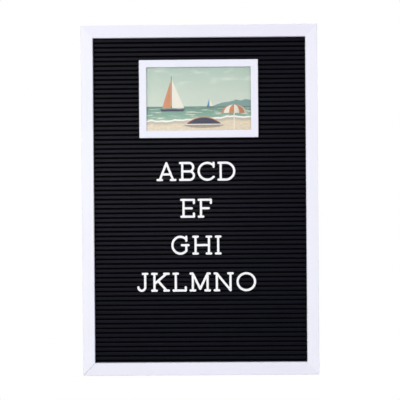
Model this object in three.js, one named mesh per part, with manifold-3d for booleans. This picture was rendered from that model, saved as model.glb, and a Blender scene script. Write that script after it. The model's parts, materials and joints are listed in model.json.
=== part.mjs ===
// Letter board: a mitred white frame round a grooved black panel, with push-in letters and a photo frame.
// Millimetres. +X is right and +Z up as seen from the front, which faces -Y.
// The origin is where the wall nail bears: on the plane of the frame's back, in the hanger's middle notch.

import * as THREE from "three";
import { mergeVertices } from "three/addons/utils/BufferGeometryUtils.js";
import Module from "manifold-3d";

// Driving dimensions: fits
const FIT = 0.3; // gap between a piece and its seat
const MITRE_GAP = 0.3; // open line between two rails at a corner
const PANEL_PLAY = 0.5; // side play of the panel and the backing in the rebate

// Driving dimensions: frame moulding
const BOARD_WIDTH = 300;
const BOARD_HEIGHT = 445;
const LEVEL_FACE = 16; // width of the white front face, top and bottom rails
const UPRIGHT_FACE = 15; // the same, left and right rails
const RAIL_WALL = 9.5; // outer wall that is left beside the rebate
const LIP_DEPTH = 6.7; // front face to the shoulder that the panel sits against
const BACK_RECESS = 3.8; // retainer points to the back face
const RAIL_EDGE_RADIUS = 0.9;

// Driving dimensions: grooved panel and backing
const GROOVE_PITCH = 5.87;
const GROOVE_MOUTH = 1.9;
const GROOVE_DEPTH = 3.4;
const GROOVE_SHIFT = 1.25; // height of the middle groove above the board's centre
const RIB_RADIUS = 0.5;
const PANEL_WEB = 2.2; // sheet that is left behind the grooves
const BACKING_THICKNESS = 2.5;

// Driving dimensions: corner fasteners and retainer points
const VNAIL_LEG = 5;
const VNAIL_GAUGE = 0.6;
const VNAIL_HEIGHT = 7;
const VNAIL_HALF_ANGLE = THREE.MathUtils.degToRad(40);
const VNAIL_APEX = 8.5; // from the frame's outer corner, along the mitre
const POINT_WIDTH = 8;
const POINT_REACH = 8; // length that lies on the backing
const POINT_BITE = 6; // length that is driven into the rail
const POINT_GAUGE = 0.5;
const POINT_TIP = 3; // length of the pointed end
const POINTS_ON_SHORT_RAIL = 2;
const POINTS_ON_LONG_RAIL = 3;

// Driving dimensions: saw-tooth hanger and its nails
const HANGER_LENGTH = 42;
const HANGER_HEIGHT = 8;
const HANGER_GAUGE = 0.8;
const HANGER_RISE = 1.4; // room behind the raised middle for a nail head
const HANGER_MIDDLE = 22; // length of the raised middle
const HANGER_RAMP = 1.5; // length of the step up to it
const TOOTH_COUNT = 5;
const TOOTH_PITCH = 3.6;
const TOOTH_DEPTH = 1.6;
const NAIL_SHANK_RADIUS = 0.7;
const NAIL_HEAD_RADIUS = 1.7;
const NAIL_HEAD_HEIGHT = 0.7;
const NAIL_LENGTH = 9;
const NAIL_TIP = 2;

// Driving dimensions: photo frame
const PHOTO_WIDTH = 151.2;
const PHOTO_HEIGHT = 99;
const PHOTO_BORDER = 9.3;
const PHOTO_X = -0.8; // middle of the photo frame, across the board
const PHOTO_LOW_COUNT = 16; // grooves that hold its pegs, counted up from the middle groove
const PHOTO_HIGH_COUNT = 27;
const PHOTO_RISE = 1.3; // height of the photo frame's middle above the middle of its pegs
const PHOTO_CORNER_RADIUS = 0.8;
const BEZEL_LIP = 1.8;
const BEZEL_EDGE = 0.5; // bevel round the front edges
const BEZEL_WALL = 2;
const WINDOW_THICKNESS = 0.6;
const WINDOW_LAP = 2.5; // hidden edge of the window behind the bezel
const PRINT_THICKNESS = 0.4;
const PRINT_LAP = 3.5; // hidden edge of the print behind the bezel
const PRINT_DROP = 1; // print's top edge below the mouth of its slot
const PHOTO_BACK_THICKNESS = 1.2;
const PHOTO_PEG_WIDTH = 14;
const PHOTO_PEG_SPACING = 100;

// Driving dimensions: letters
const CAP_HEIGHT = 24.4;
const STROKE = 3;
const LETTER_THICKNESS = 2.2;
const SERIF = 2.8; // half length of a serif, to the centre of its round end
const TICK = 4; // length of the upright ends on E, F and L
const LETTER_GAP = 3.2;
const LETTER_PEG_WIDTH = 2.2;
const LETTER_EDGE = 0.4; // bevel round the front edge
const PEG_TAPER = 0.35; // lead-in at the tip of a peg
const FIRST_ROW_COUNT = 6; // groove behind the middle of the top row, counted up from the middle groove
const ROW_STEP_COUNT = 8; // grooves from one row to the next
const ROW_X = -5; // middle of the rows, across the board
const ROWS = ["ABCD", "EF", "GHI", "JKLMNO"];
const LETTER_WIDTHS = {
  A: 25.5,
  B: 20.5,
  C: 22,
  D: 23,
  E: 19,
  F: 18.5,
  G: 23.5,
  H: 25.6,
  I: 8.6,
  J: 14.5,
  K: 24,
  L: 18.5,
  M: 27.4,
  N: 26,
  O: 25.2,
};

// Facets
const RIB_STEPS = 1; // half the facets on a rib's shoulder
const EDGE_STEPS = 2; // half the facets on a small rounded edge
const CAP_STEPS = 3; // half the facets on the round end of a stroke
const CURVE_STEPS = 16; // facets on a half turn of a letter's bowl
const ROUND_STEPS = 12; // facets round a nail
const MERGE_DISTANCE = 1e-4;
const SLIVER = 0.01; // seams finer than this are cleaned away after a cut or a join

// Depths, from the back face forwards: y is 0 at the back of the frame
const POINT_Y = -BACK_RECESS;
const BACKING_Y = POINT_Y - POINT_GAUGE - FIT;
const PANEL_BACK_Y = BACKING_Y - BACKING_THICKNESS - FIT;
const CREST_Y = PANEL_BACK_Y - PANEL_WEB - GROOVE_DEPTH;
const RAIL_DEPTH = LIP_DEPTH + FIT - CREST_Y;

// Sizes that follow from the driving dimensions
const PANEL_WIDTH = BOARD_WIDTH - 2 * (RAIL_WALL + PANEL_PLAY);
const PANEL_HEIGHT = BOARD_HEIGHT - 2 * (RAIL_WALL + PANEL_PLAY);
const PEG_THICKNESS = GROOVE_MOUTH - 2 * FIT;
const PEG_DEPTH = GROOVE_DEPTH - FIT;
const HANGER_Z = BOARD_HEIGHT / 2 - RAIL_WALL / 2;
const HANGER_FOOT = HANGER_MIDDLE / 2 + HANGER_RAMP; // where the flat ends start, across the board
const HOOK_Z = HANGER_Z - HANGER_HEIGHT / 2 + TOOTH_DEPTH;
const NAIL_X = (HANGER_LENGTH / 2 + HANGER_FOOT) / 2;
const NAIL_HEAD_Y = HANGER_GAUGE + 2 * FIT; // underside of a nail's head

const X = new THREE.Vector3(1, 0, 0);
const Y = new THREE.Vector3(0, 1, 0);
const Z = new THREE.Vector3(0, 0, 1);
const FRONT = new THREE.Vector3(0, -1, 0);

const wasm = await Module();
wasm.setup();

// Materials
function paint(color, roughness, metalness = 0) {
  return new THREE.MeshStandardMaterial({ color, roughness, metalness });
}

const WHITE_LACQUER = paint(0xf1f1fa, 0.45);
const BLACK_PLASTIC = paint(0x1a1a22, 0.5);
const HARDBOARD = paint(0x8a6a48, 0.85);
const STEEL = paint(0x9a9ca0, 0.35, 1);
const WHITE_PLASTIC = paint(0xf7f7fb, 0.4);
const PHOTO_PAPER = paint(0xb9d6cb, 0.35);
const CLEAR_SHEET = paint(0xf2f6f6, 0.08);
CLEAR_SHEET.transparent = true;
CLEAR_SHEET.opacity = 0.2;

/** A closed geometry as a solid that can be cut and joined. */
function solidOf(geometry) {
  const bare = geometry.clone();
  bare.deleteAttribute("normal");
  bare.deleteAttribute("uv");
  const merged = mergeVertices(bare, MERGE_DISTANCE);
  return new wasm.Manifold(
    new wasm.Mesh({
      numProp: 3,
      vertProperties: merged.attributes.position.array,
      triVerts: new Uint32Array(merged.index.array),
    }),
  );
}

/** A solid's triangles as a geometry, without the seams left by its cuts and joins. */
function geometryOf(solid) {
  const mesh = solid.asOriginal().simplify(SLIVER).getMesh();
  const geometry = new THREE.BufferGeometry();
  geometry.setAttribute("position", new THREE.BufferAttribute(mesh.vertProperties, 3));
  geometry.setIndex(new THREE.BufferAttribute(mesh.triVerts, 1));
  geometry.computeVertexNormals();
  return geometry;
}

function cut(geometry, cutters) {
  const result = cutters.reduce((solid, cutter) => solid.subtract(solidOf(cutter)), solidOf(geometry));
  return geometryOf(result);
}

function join(geometries) {
  const [first, ...rest] = geometries.map(solidOf);
  return geometryOf(rest.reduce((solid, other) => solid.add(other), first));
}

function piece(name, geometry, material) {
  const mesh = new THREE.Mesh(geometry, material);
  mesh.name = name;
  return mesh;
}

/** A box from its middle in x and z, its back face and its three sizes. */
function block(x, z, backY, width, thickness, height) {
  return new THREE.BoxGeometry(width, thickness, height).translate(x, backY - thickness / 2, z);
}

/** Extrudes an outline drawn as seen from the front, (x, z), from y = backY towards the front. */
function frontPrism(outline, thickness, backY) {
  const prism = new THREE.ExtrudeGeometry(outline, { depth: thickness, bevelEnabled: false });
  prism.applyMatrix4(new THREE.Matrix4().makeBasis(X, Z, FRONT));
  return prism.translate(0, backY, 0);
}

/** As frontPrism, with a bevel round the front edge. The like bevel behind the back face is cut off. */
function easedPrism(outline, thickness, backY, edge, steps) {
  const prism = new THREE.ExtrudeGeometry(outline, {
    depth: thickness - edge,
    bevelThickness: edge,
    bevelSize: edge,
    bevelOffset: -edge,
    bevelSegments: 1,
    curveSegments: steps,
  });
  prism.applyMatrix4(new THREE.Matrix4().makeBasis(X, Z, FRONT));
  prism.translate(0, backY, 0).computeBoundingBox();
  const middle = prism.boundingBox.getCenter(new THREE.Vector3());
  const size = prism.boundingBox.getSize(new THREE.Vector3());
  return cut(prism, [block(middle.x, middle.z, backY + 2 * edge, 2 * size.x, 2 * edge, 2 * size.z)]);
}

/** Extrudes an outline drawn as seen from the right, (y, z), from x = 0 along +X. */
function sidePrism(outline, length, steps = EDGE_STEPS) {
  const settings = { depth: length, bevelEnabled: false, curveSegments: steps };
  const prism = new THREE.ExtrudeGeometry(outline, settings);
  return prism.applyMatrix4(new THREE.Matrix4().makeBasis(Y, Z, X));
}

/** A round bar along y, from its back end. */
function roundBar(x, z, backY, radius, length) {
  return new THREE.CylinderGeometry(radius, radius, length, ROUND_STEPS).translate(x, backY - length / 2, z);
}

function polygon(points) {
  return new THREE.Shape(points.map(([a, b]) => new THREE.Vector2(a, b)));
}

/** A flat peg that reaches back from y = frontY into a groove, with a tapered tip. */
function peg(x, z, frontY, width) {
  const half = PEG_THICKNESS / 2;
  const tip = CREST_Y + PEG_DEPTH;
  const side = polygon([
    [frontY, -half],
    [tip - PEG_TAPER, -half],
    [tip, PEG_TAPER - half],
    [tip, half - PEG_TAPER],
    [tip - PEG_TAPER, half],
    [frontY, half],
  ]);
  return sidePrism(side, width).translate(x - width / 2, 0, z);
}

/** Height of a groove's middle, counted up from the panel's middle groove. */
function grooveZ(count) {
  return GROOVE_SHIFT + count * GROOVE_PITCH;
}

// Frame rails, each built as the bottom rail and turned about Y into its place

/** The moulding's section: u inwards from the outer edge, v backwards from the front face. */
function railSection(face) {
  const r = RAIL_EDGE_RADIUS;
  const section = new THREE.Shape();
  section.moveTo(0, RAIL_DEPTH);
  section.lineTo(0, r);
  section.absarc(r, r, r, Math.PI, 1.5 * Math.PI);
  section.lineTo(face - r, 0);
  section.absarc(face - r, r, r, 1.5 * Math.PI, 2 * Math.PI);
  section.lineTo(face, LIP_DEPTH);
  section.lineTo(RAIL_WALL, LIP_DEPTH);
  section.lineTo(RAIL_WALL, RAIL_DEPTH);
  return section;
}

/** The section carried along the rail, with each end drawn in along a mitre at an angle to u. */
function mitredRail(length, halfSpan, face, mitre) {
  const settings = { depth: 1, bevelEnabled: false, curveSegments: EDGE_STEPS };
  const bar = new THREE.ExtrudeGeometry(railSection(face), settings);
  const place = bar.attributes.position;
  const gapShare = MITRE_GAP / 2 / Math.cos(mitre);
  for (let i = 0; i < place.count; i += 1) {
    const inwards = place.getX(i);
    const end = 1 - 2 * place.getZ(i);
    const drawnIn = inwards * Math.tan(mitre) + gapShare;
    place.setXYZ(i, end * (length / 2 - drawnIn), place.getY(i) - RAIL_DEPTH, inwards - halfSpan);
  }
  return bar;
}

/** A corner fastener's V, with its apex at 0 and its legs along +x, grown all round by `grow`. */
function vNailOutline(grow) {
  const half = VNAIL_GAUGE / 2 + grow;
  const reach = VNAIL_LEG + grow;
  const along = Math.cos(VNAIL_HALF_ANGLE);
  const across = Math.sin(VNAIL_HALF_ANGLE);
  const leg = (side, offset) => [along * reach - across * offset, side * (across * reach + along * offset)];
  return polygon([
    [-half / across, 0],
    leg(-1, half),
    leg(-1, -half),
    [half / across, 0],
    leg(1, -half),
    leg(1, half),
  ]);
}

/** The fastener, or its slot, at one end of a rail: end -1 is the rail's left end and +1 its right. */
function vNail(length, halfSpan, end, mitre, grow) {
  const nail = frontPrism(vNailOutline(grow), VNAIL_HEIGHT + 3 * grow, 2 * grow - FIT);
  nail.rotateY(Math.PI / 2 - end * mitre);
  const x = length / 2 - VNAIL_APEX * Math.sin(mitre);
  return nail.translate(end * x, 0, VNAIL_APEX * Math.cos(mitre) - halfSpan);
}

/** A flat retainer point with its tip driven into the rail's rebate wall. */
function retainerPoint(x, halfSpan) {
  const wall = RAIL_WALL - halfSpan;
  const tip = wall - POINT_BITE;
  const half = POINT_WIDTH / 2;
  const outline = polygon([
    [x, tip],
    [x + half, tip + POINT_TIP],
    [x + half, wall + POINT_REACH - POINT_GAUGE],
    [x + half - POINT_GAUGE, wall + POINT_REACH],
    [x - half + POINT_GAUGE, wall + POINT_REACH],
    [x - half, wall + POINT_REACH - POINT_GAUGE],
    [x - half, tip + POINT_TIP],
  ]);
  return frontPrism(outline, POINT_GAUGE, POINT_Y);
}

function retainerSlot(x, halfSpan) {
  const z = RAIL_WALL - halfSpan - POINT_BITE / 2;
  const thickness = POINT_GAUGE + 2 * FIT;
  return block(x, z, POINT_Y + FIT, POINT_WIDTH + 2 * FIT, thickness, POINT_BITE + 2 * FIT);
}

/** A rail with the fastener at its left end and its retainer points. */
function railGroup(side, length, span, faces, points, turn, holes = []) {
  const halfSpan = span / 2;
  const [face, nextFace] = faces;
  const mitre = Math.atan2(nextFace, face);
  const places = Array.from({ length: points }, (_, i) => length * ((i + 0.5) / points - 0.5));
  const cutters = [
    vNail(length, halfSpan, -1, mitre, FIT),
    vNail(length, halfSpan, 1, mitre, FIT),
    ...places.map((x) => retainerSlot(x, halfSpan)),
    ...holes,
  ];
  const group = new THREE.Group();
  group.add(piece(`frame_rail_${side}`, cut(mitredRail(length, halfSpan, face, mitre), cutters), WHITE_LACQUER));
  group.add(piece(`corner_v_nail_${side}`, vNail(length, halfSpan, -1, mitre, 0), STEEL));
  places.forEach((x, i) => {
    group.add(piece(`retainer_point_${side}_${i + 1}`, retainerPoint(x, halfSpan), STEEL));
  });
  group.rotation.y = turn;
  return group;
}

/** The hanger's nail holes in the top rail, before it is turned into its place. */
function hangerNailHoles() {
  const length = NAIL_LENGTH - NAIL_HEAD_Y + 2 * FIT;
  return [-1, 1].map((side) => roundBar(side * NAIL_X, -HANGER_Z, FIT, NAIL_SHANK_RADIUS + FIT, length));
}

function frameRails() {
  const quarter = Math.PI / 2;
  const level = [LEVEL_FACE, UPRIGHT_FACE];
  const upright = [UPRIGHT_FACE, LEVEL_FACE];
  return [
    railGroup("bottom", BOARD_WIDTH, BOARD_HEIGHT, level, POINTS_ON_SHORT_RAIL, 0),
    railGroup("left", BOARD_HEIGHT, BOARD_WIDTH, upright, POINTS_ON_LONG_RAIL, quarter),
    railGroup("top", BOARD_WIDTH, BOARD_HEIGHT, level, POINTS_ON_SHORT_RAIL, 2 * quarter, hangerNailHoles()),
    railGroup("right", BOARD_HEIGHT, BOARD_WIDTH, upright, POINTS_ON_LONG_RAIL, -quarter),
  ];
}

// Grooved panel and backing

/** The panel's section, (y, z): a flat back, and round-shouldered ribs with grooves between them. */
function panelSection() {
  const half = GROOVE_MOUTH / 2;
  const r = RIB_RADIUS;
  const top = PANEL_HEIGHT / 2;
  const floor = CREST_Y + GROOVE_DEPTH;
  const highest = Math.floor((top - half - r - GROOVE_SHIFT) / GROOVE_PITCH);
  const lowest = Math.ceil((half + r - top - GROOVE_SHIFT) / GROOVE_PITCH);
  const section = new THREE.Shape();
  section.moveTo(PANEL_BACK_Y, -top);
  section.lineTo(PANEL_BACK_Y, top);
  section.lineTo(CREST_Y, top);
  for (let count = highest; count >= lowest; count -= 1) {
    const z = grooveZ(count);
    section.absarc(CREST_Y + r, z + half + r, r, Math.PI, 1.5 * Math.PI);
    section.lineTo(floor, z + half);
    section.lineTo(floor, z - half);
    section.absarc(CREST_Y + r, z - half - r, r, 0.5 * Math.PI, Math.PI);
  }
  section.lineTo(CREST_Y, -top);
  return section;
}

function groovedPanel() {
  const panel = sidePrism(panelSection(), PANEL_WIDTH, RIB_STEPS);
  panel.translate(-PANEL_WIDTH / 2, 0, 0);
  return piece("grooved_panel", panel, BLACK_PLASTIC);
}

function backingBoard() {
  const sheet = block(0, 0, BACKING_Y, PANEL_WIDTH, BACKING_THICKNESS, PANEL_HEIGHT);
  return piece("backing_board", sheet, HARDBOARD);
}

// Saw-tooth hanger

/** The strip seen from above, (x, y): flat ends on the rail and a raised middle. */
function hangerSection() {
  const end = HANGER_LENGTH / 2;
  const middle = HANGER_MIDDLE / 2;
  const side = (y, spread) => [
    [-end, y],
    [-HANGER_FOOT - spread, y],
    [-middle - spread, y + HANGER_RISE],
    [middle + spread, y + HANGER_RISE],
    [HANGER_FOOT + spread, y],
    [end, y],
  ];
  return polygon([...side(FIT, 0), ...side(FIT + HANGER_GAUGE, HANGER_GAUGE / 2).reverse()]);
}

function sawToothHanger() {
  const strip = new THREE.ExtrudeGeometry(hangerSection(), { depth: HANGER_HEIGHT, bevelEnabled: false });
  const low = HANGER_Z - HANGER_HEIGHT / 2;
  strip.translate(0, 0, low);
  const through = 2 * (HANGER_RISE + HANGER_GAUGE + FIT);
  const notches = Array.from({ length: TOOTH_COUNT }, (_, i) => {
    const x = (i - (TOOTH_COUNT - 1) / 2) * TOOTH_PITCH;
    const half = TOOTH_PITCH / 2;
    const outline = polygon([
      [x - half, low - FIT],
      [x + half, low - FIT],
      [x, low + TOOTH_DEPTH],
    ]);
    return frontPrism(outline, through, through);
  });
  const holes = [-1, 1].map((side) =>
    roundBar(side * NAIL_X, HANGER_Z, through, NAIL_SHANK_RADIUS + FIT, through),
  );
  return piece("saw_tooth_hanger", cut(strip, [...notches, ...holes]), STEEL);
}

/** A flat-headed nail, turned about its own axis, driven forwards into the rail. */
function hangerNail(side, name) {
  const tip = NAIL_HEAD_Y - NAIL_LENGTH;
  const profile = [
    [0, tip],
    [NAIL_SHANK_RADIUS, tip + NAIL_TIP],
    [NAIL_SHANK_RADIUS, NAIL_HEAD_Y],
    [NAIL_HEAD_RADIUS, NAIL_HEAD_Y],
    [NAIL_HEAD_RADIUS, NAIL_HEAD_Y + NAIL_HEAD_HEIGHT],
    [0, NAIL_HEAD_Y + NAIL_HEAD_HEIGHT],
  ].map(([radius, y]) => new THREE.Vector2(radius, y));
  const nail = new THREE.LatheGeometry(profile, ROUND_STEPS);
  nail.translate(side * NAIL_X, 0, HANGER_Z);
  return piece(name, nail, STEEL);
}

// Photo frame: heights above the ribs, towards the front, in its own group

const PHOTO_BACK_H = FIT;
const PRINT_H = PHOTO_BACK_H + PHOTO_BACK_THICKNESS + FIT;
const WINDOW_H = PRINT_H + PRINT_THICKNESS + FIT;
const BEZEL_LIP_H = WINDOW_H + WINDOW_THICKNESS + FIT;
const BEZEL_FRONT_H = BEZEL_LIP_H + BEZEL_LIP;
const OPENING_WIDTH = PHOTO_WIDTH - 2 * PHOTO_BORDER;
const OPENING_HEIGHT = PHOTO_HEIGHT - 2 * PHOTO_BORDER;

function rectangle(width, height) {
  const x = width / 2;
  const z = height / 2;
  return polygon([
    [-x, -z],
    [x, -z],
    [x, z],
    [-x, z],
  ]);
}

function roundedRectangle(width, height, radius) {
  const x = width / 2 - radius;
  const z = height / 2 - radius;
  const outline = new THREE.Shape();
  outline.absarc(x, z, radius, 0, 0.5 * Math.PI);
  outline.absarc(-x, z, radius, 0.5 * Math.PI, Math.PI);
  outline.absarc(-x, -z, radius, Math.PI, 1.5 * Math.PI);
  outline.absarc(x, -z, radius, 1.5 * Math.PI, 2 * Math.PI);
  return outline;
}

/** A box between two heights above the ribs, from a width, a bottom and a top. */
function layer(width, bottom, top, low, high) {
  return block(0, (bottom + top) / 2, CREST_Y - low, width, high - low, top - bottom);
}

/** The white border: open behind for the window, the print and the back, and at the top for the print. */
function photoBezel() {
  const outline = roundedRectangle(PHOTO_WIDTH, PHOTO_HEIGHT, PHOTO_CORNER_RADIUS);
  outline.holes.push(rectangle(OPENING_WIDTH, OPENING_HEIGHT));
  const thickness = BEZEL_FRONT_H - PHOTO_BACK_H;
  const body = easedPrism(outline, thickness, CREST_Y - PHOTO_BACK_H, BEZEL_EDGE, EDGE_STEPS);
  const past = PHOTO_HEIGHT; // well above the open top edge
  const lap = (share) => [OPENING_WIDTH + 2 * (share + FIT), OPENING_HEIGHT / 2 + share + FIT];
  const [windowWidth, windowReach] = lap(WINDOW_LAP);
  const [printWidth, printReach] = lap(PRINT_LAP);
  const backWidth = PHOTO_WIDTH - 2 * BEZEL_WALL;
  const backReach = PHOTO_HEIGHT / 2 - BEZEL_WALL;
  return cut(body, [
    layer(windowWidth, -windowReach, windowReach, 0, BEZEL_LIP_H),
    layer(printWidth, -printReach, past, 0, WINDOW_H - FIT / 2),
    layer(backWidth, -backReach, past, -FIT, PRINT_H - FIT / 2),
  ]);
}

function photoWindow() {
  const reach = OPENING_HEIGHT / 2 + WINDOW_LAP;
  return layer(OPENING_WIDTH + 2 * WINDOW_LAP, -reach, reach, WINDOW_H, WINDOW_H + WINDOW_THICKNESS);
}

function photoPrint() {
  const bottom = -OPENING_HEIGHT / 2 - PRINT_LAP;
  const top = PHOTO_HEIGHT / 2 - PRINT_DROP;
  return layer(OPENING_WIDTH + 2 * PRINT_LAP, bottom, top, PRINT_H, PRINT_H + PRINT_THICKNESS);
}

/** The back plate, with two pairs of flat pegs that push into two of the board's grooves. */
function photoBack() {
  const width = PHOTO_WIDTH - 2 * (BEZEL_WALL + FIT);
  const bottom = BEZEL_WALL + FIT - PHOTO_HEIGHT / 2;
  const front = PHOTO_BACK_H + PHOTO_BACK_THICKNESS;
  const plate = layer(width, bottom, PHOTO_HEIGHT / 2, PHOTO_BACK_H, front);
  const halfGrooves = ((PHOTO_HIGH_COUNT - PHOTO_LOW_COUNT) / 2) * GROOVE_PITCH;
  const pegs = [-1, 1].flatMap((across) =>
    [-1, 1].map((up) => {
      const z = up * halfGrooves - PHOTO_RISE;
      const x = (across * PHOTO_PEG_SPACING) / 2;
      return peg(x, z, CREST_Y - PHOTO_BACK_H - PHOTO_BACK_THICKNESS / 2, PHOTO_PEG_WIDTH);
    }),
  );
  return join([plate, ...pegs]);
}

function photoFrame() {
  const group = new THREE.Group();
  group.add(piece("photo_bezel", photoBezel(), WHITE_PLASTIC));
  group.add(piece("photo_window", photoWindow(), CLEAR_SHEET));
  group.add(piece("photo_print", photoPrint(), PHOTO_PAPER));
  group.add(piece("photo_back", photoBack(), WHITE_PLASTIC));
  const middle = (grooveZ(PHOTO_LOW_COUNT) + grooveZ(PHOTO_HIGH_COUNT)) / 2;
  group.position.set(PHOTO_X, 0, middle + PHOTO_RISE);
  return group;
}

// Letters: strokes of one width with round ends, (x, z) about the letter's middle

const CAP = (CAP_HEIGHT - STROKE) / 2; // stroke centre of the cap line above the middle

/** Points on an ellipse from one angle to another, in degrees. */
function bow(x, z, radiusX, radiusZ, from, to) {
  const steps = Math.max(2, Math.round((CURVE_STEPS * Math.abs(to - from)) / 180));
  return Array.from({ length: steps + 1 }, (_, i) => {
    const angle = THREE.MathUtils.degToRad(from + ((to - from) * i) / steps);
    return [x + radiusX * Math.cos(angle), z + radiusZ * Math.sin(angle)];
  });
}

/** The bow of C and G: from -half at the left round to an upper and a lower tip at tipX. */
function openBow(half, tipX) {
  const open = 42;
  const slope = THREE.MathUtils.degToRad(open);
  const radius = (half + tipX) / (1 + Math.cos(slope));
  const middle = radius - half;
  const line = bow(middle, 0, radius, CAP, open, 360 - open);
  return { line, middle, radius, tipZ: CAP * Math.sin(slope) };
}

/** Half width of an ellipse at the height of a letter's pegs. */
function bowAtPeg(radiusX, radiusZ) {
  return radiusX * Math.sqrt(1 - (GROOVE_PITCH / radiusZ) ** 2);
}

const serif = (x, z, left = SERIF, right = SERIF) => [
  [x - left, z],
  [x + right, z],
];

const stem = (x, low = -CAP, high = CAP) => [
  [x, low],
  [x, high],
];

/** A stem with a serif at each end. */
const slabStem = (x) => [stem(x), serif(x, CAP), serif(x, -CAP)];

/** A row of pegs for one stem: one in the groove above the letter's middle and one in the groove below. */
const stemPegs = (x) => [
  [x, 1],
  [x, -1],
];

/** Each letter's strokes and pegs, from half its width between stroke centres. A peg is [x, grooves up]. */
const LETTERS = {
  A(half) {
    const foot = half - SERIF;
    const legAt = (z) => (foot * (CAP - z)) / (2 * CAP);
    const bar = -CAP / 3;
    return {
      strokes: [
        [[-foot, -CAP], [0, CAP]],
        [[foot, -CAP], [0, CAP]],
        [[-legAt(bar), bar], [legAt(bar), bar]],
        serif(-foot, -CAP),
        serif(foot, -CAP),
      ],
      pegs: [[-legAt(-GROOVE_PITCH), -1], [legAt(-GROOVE_PITCH), -1], [legAt(GROOVE_PITCH), 1]],
    };
  },
  B(half) {
    const spine = SERIF - half;
    const bowl = CAP / 2;
    const upper = half - bowl - STROKE / 4;
    const lower = half - bowl;
    return {
      strokes: [
        stem(spine),
        [[-half, CAP], ...bow(upper, bowl, bowl, bowl, 90, -90), [spine, 0]],
        [[spine, 0], ...bow(lower, -bowl, bowl, bowl, 90, -90), [-half, -CAP]],
      ],
      pegs: stemPegs(spine),
    };
  },
  C(half) {
    const { line, middle, radius, tipZ } = openBow(half, half);
    return {
      strokes: [line, stem(half, tipZ - SERIF / 2, CAP)],
      pegs: stemPegs(middle - bowAtPeg(radius, CAP)),
    };
  },
  D(half) {
    const spine = SERIF - half;
    const turn = half - CAP;
    return {
      strokes: [stem(spine), [[-half, CAP], ...bow(turn, 0, CAP, CAP, 90, -90), [-half, -CAP]]],
      pegs: [...stemPegs(spine), [turn + bowAtPeg(CAP, CAP), -1]],
    };
  },
  E(half) {
    const spine = SERIF - half;
    return {
      strokes: [
        stem(spine),
        [[-half, CAP], [half, CAP]],
        [[-half, -CAP], [half, -CAP]],
        [[spine, 0], [half - SERIF, 0]],
        stem(half, CAP - TICK, CAP),
        stem(half, -CAP, TICK - CAP),
      ],
      pegs: stemPegs(spine),
    };
  },
  F(half) {
    const spine = SERIF - half;
    return {
      strokes: [
        stem(spine),
        [[-half, CAP], [half, CAP]],
        [[spine, 0], [half - SERIF, 0]],
        stem(half, CAP - TICK, CAP),
        serif(spine, -CAP),
      ],
      pegs: stemPegs(spine),
    };
  },
  G(half) {
    const tipX = half - SERIF;
    const { line, middle, radius, tipZ } = openBow(half, tipX);
    return {
      strokes: [
        line,
        stem(tipX, tipZ - SERIF / 2, CAP),
        stem(tipX, -tipZ, 0),
        serif(tipX, 0, 2 * SERIF, SERIF),
      ],
      pegs: stemPegs(middle - bowAtPeg(radius, CAP)),
    };
  },
  H(half) {
    const side = half - SERIF;
    return {
      strokes: [...slabStem(-side), ...slabStem(side), [[-side, 0], [side, 0]]],
      pegs: [...stemPegs(-side), ...stemPegs(side)],
    };
  },
  I() {
    return { strokes: slabStem(0), pegs: stemPegs(0) };
  },
  J(half) {
    const side = half - SERIF;
    const hook = (half + side) / 2;
    return {
      strokes: [
        [[side, CAP], ...bow(side - hook, hook - CAP, hook, hook, 0, -180)],
        serif(side, CAP),
      ],
      pegs: [[side, 1], [side, 0]],
    };
  },
  K(half) {
    const spine = SERIF - half;
    const arm = half - SERIF;
    const fork = -CAP / 5;
    const share = 0.3; // how far along the arm the leg starts
    const knee = [spine + share * (arm - spine), fork + share * (CAP - fork)];
    return {
      strokes: [
        ...slabStem(spine),
        [[spine, fork], [arm, CAP]],
        [knee, [arm, -CAP]],
        serif(arm, CAP),
        serif(arm, -CAP),
      ],
      pegs: stemPegs(spine),
    };
  },
  L(half) {
    const spine = SERIF - half;
    return {
      strokes: [
        stem(spine),
        serif(spine, CAP),
        [[-half, -CAP], [half, -CAP]],
        stem(half, -CAP, TICK - CAP),
      ],
      pegs: stemPegs(spine),
    };
  },
  M(half) {
    const side = half - SERIF;
    const dip = -0.8 * CAP;
    return {
      strokes: [
        stem(-side),
        stem(side),
        [[-side, CAP], [0, dip]],
        [[side, CAP], [0, dip]],
        serif(-side, CAP, SERIF, 0),
        serif(side, CAP, 0, SERIF),
        serif(-side, -CAP),
        serif(side, -CAP),
      ],
      pegs: [...stemPegs(-side), ...stemPegs(side)],
    };
  },
  N(half) {
    const side = half - SERIF;
    return {
      strokes: [
        stem(-side),
        stem(side),
        [[-side, CAP], [side, -CAP]],
        serif(-side, CAP, SERIF, 0),
        serif(-side, -CAP),
        serif(side, CAP),
      ],
      pegs: [...stemPegs(-side), ...stemPegs(side)],
    };
  },
  O(half) {
    return {
      strokes: [bow(0, 0, half, CAP, 0, 360)],
      pegs: [...stemPegs(-bowAtPeg(half, CAP)), ...stemPegs(bowAtPeg(half, CAP))],
    };
  },
};

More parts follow.
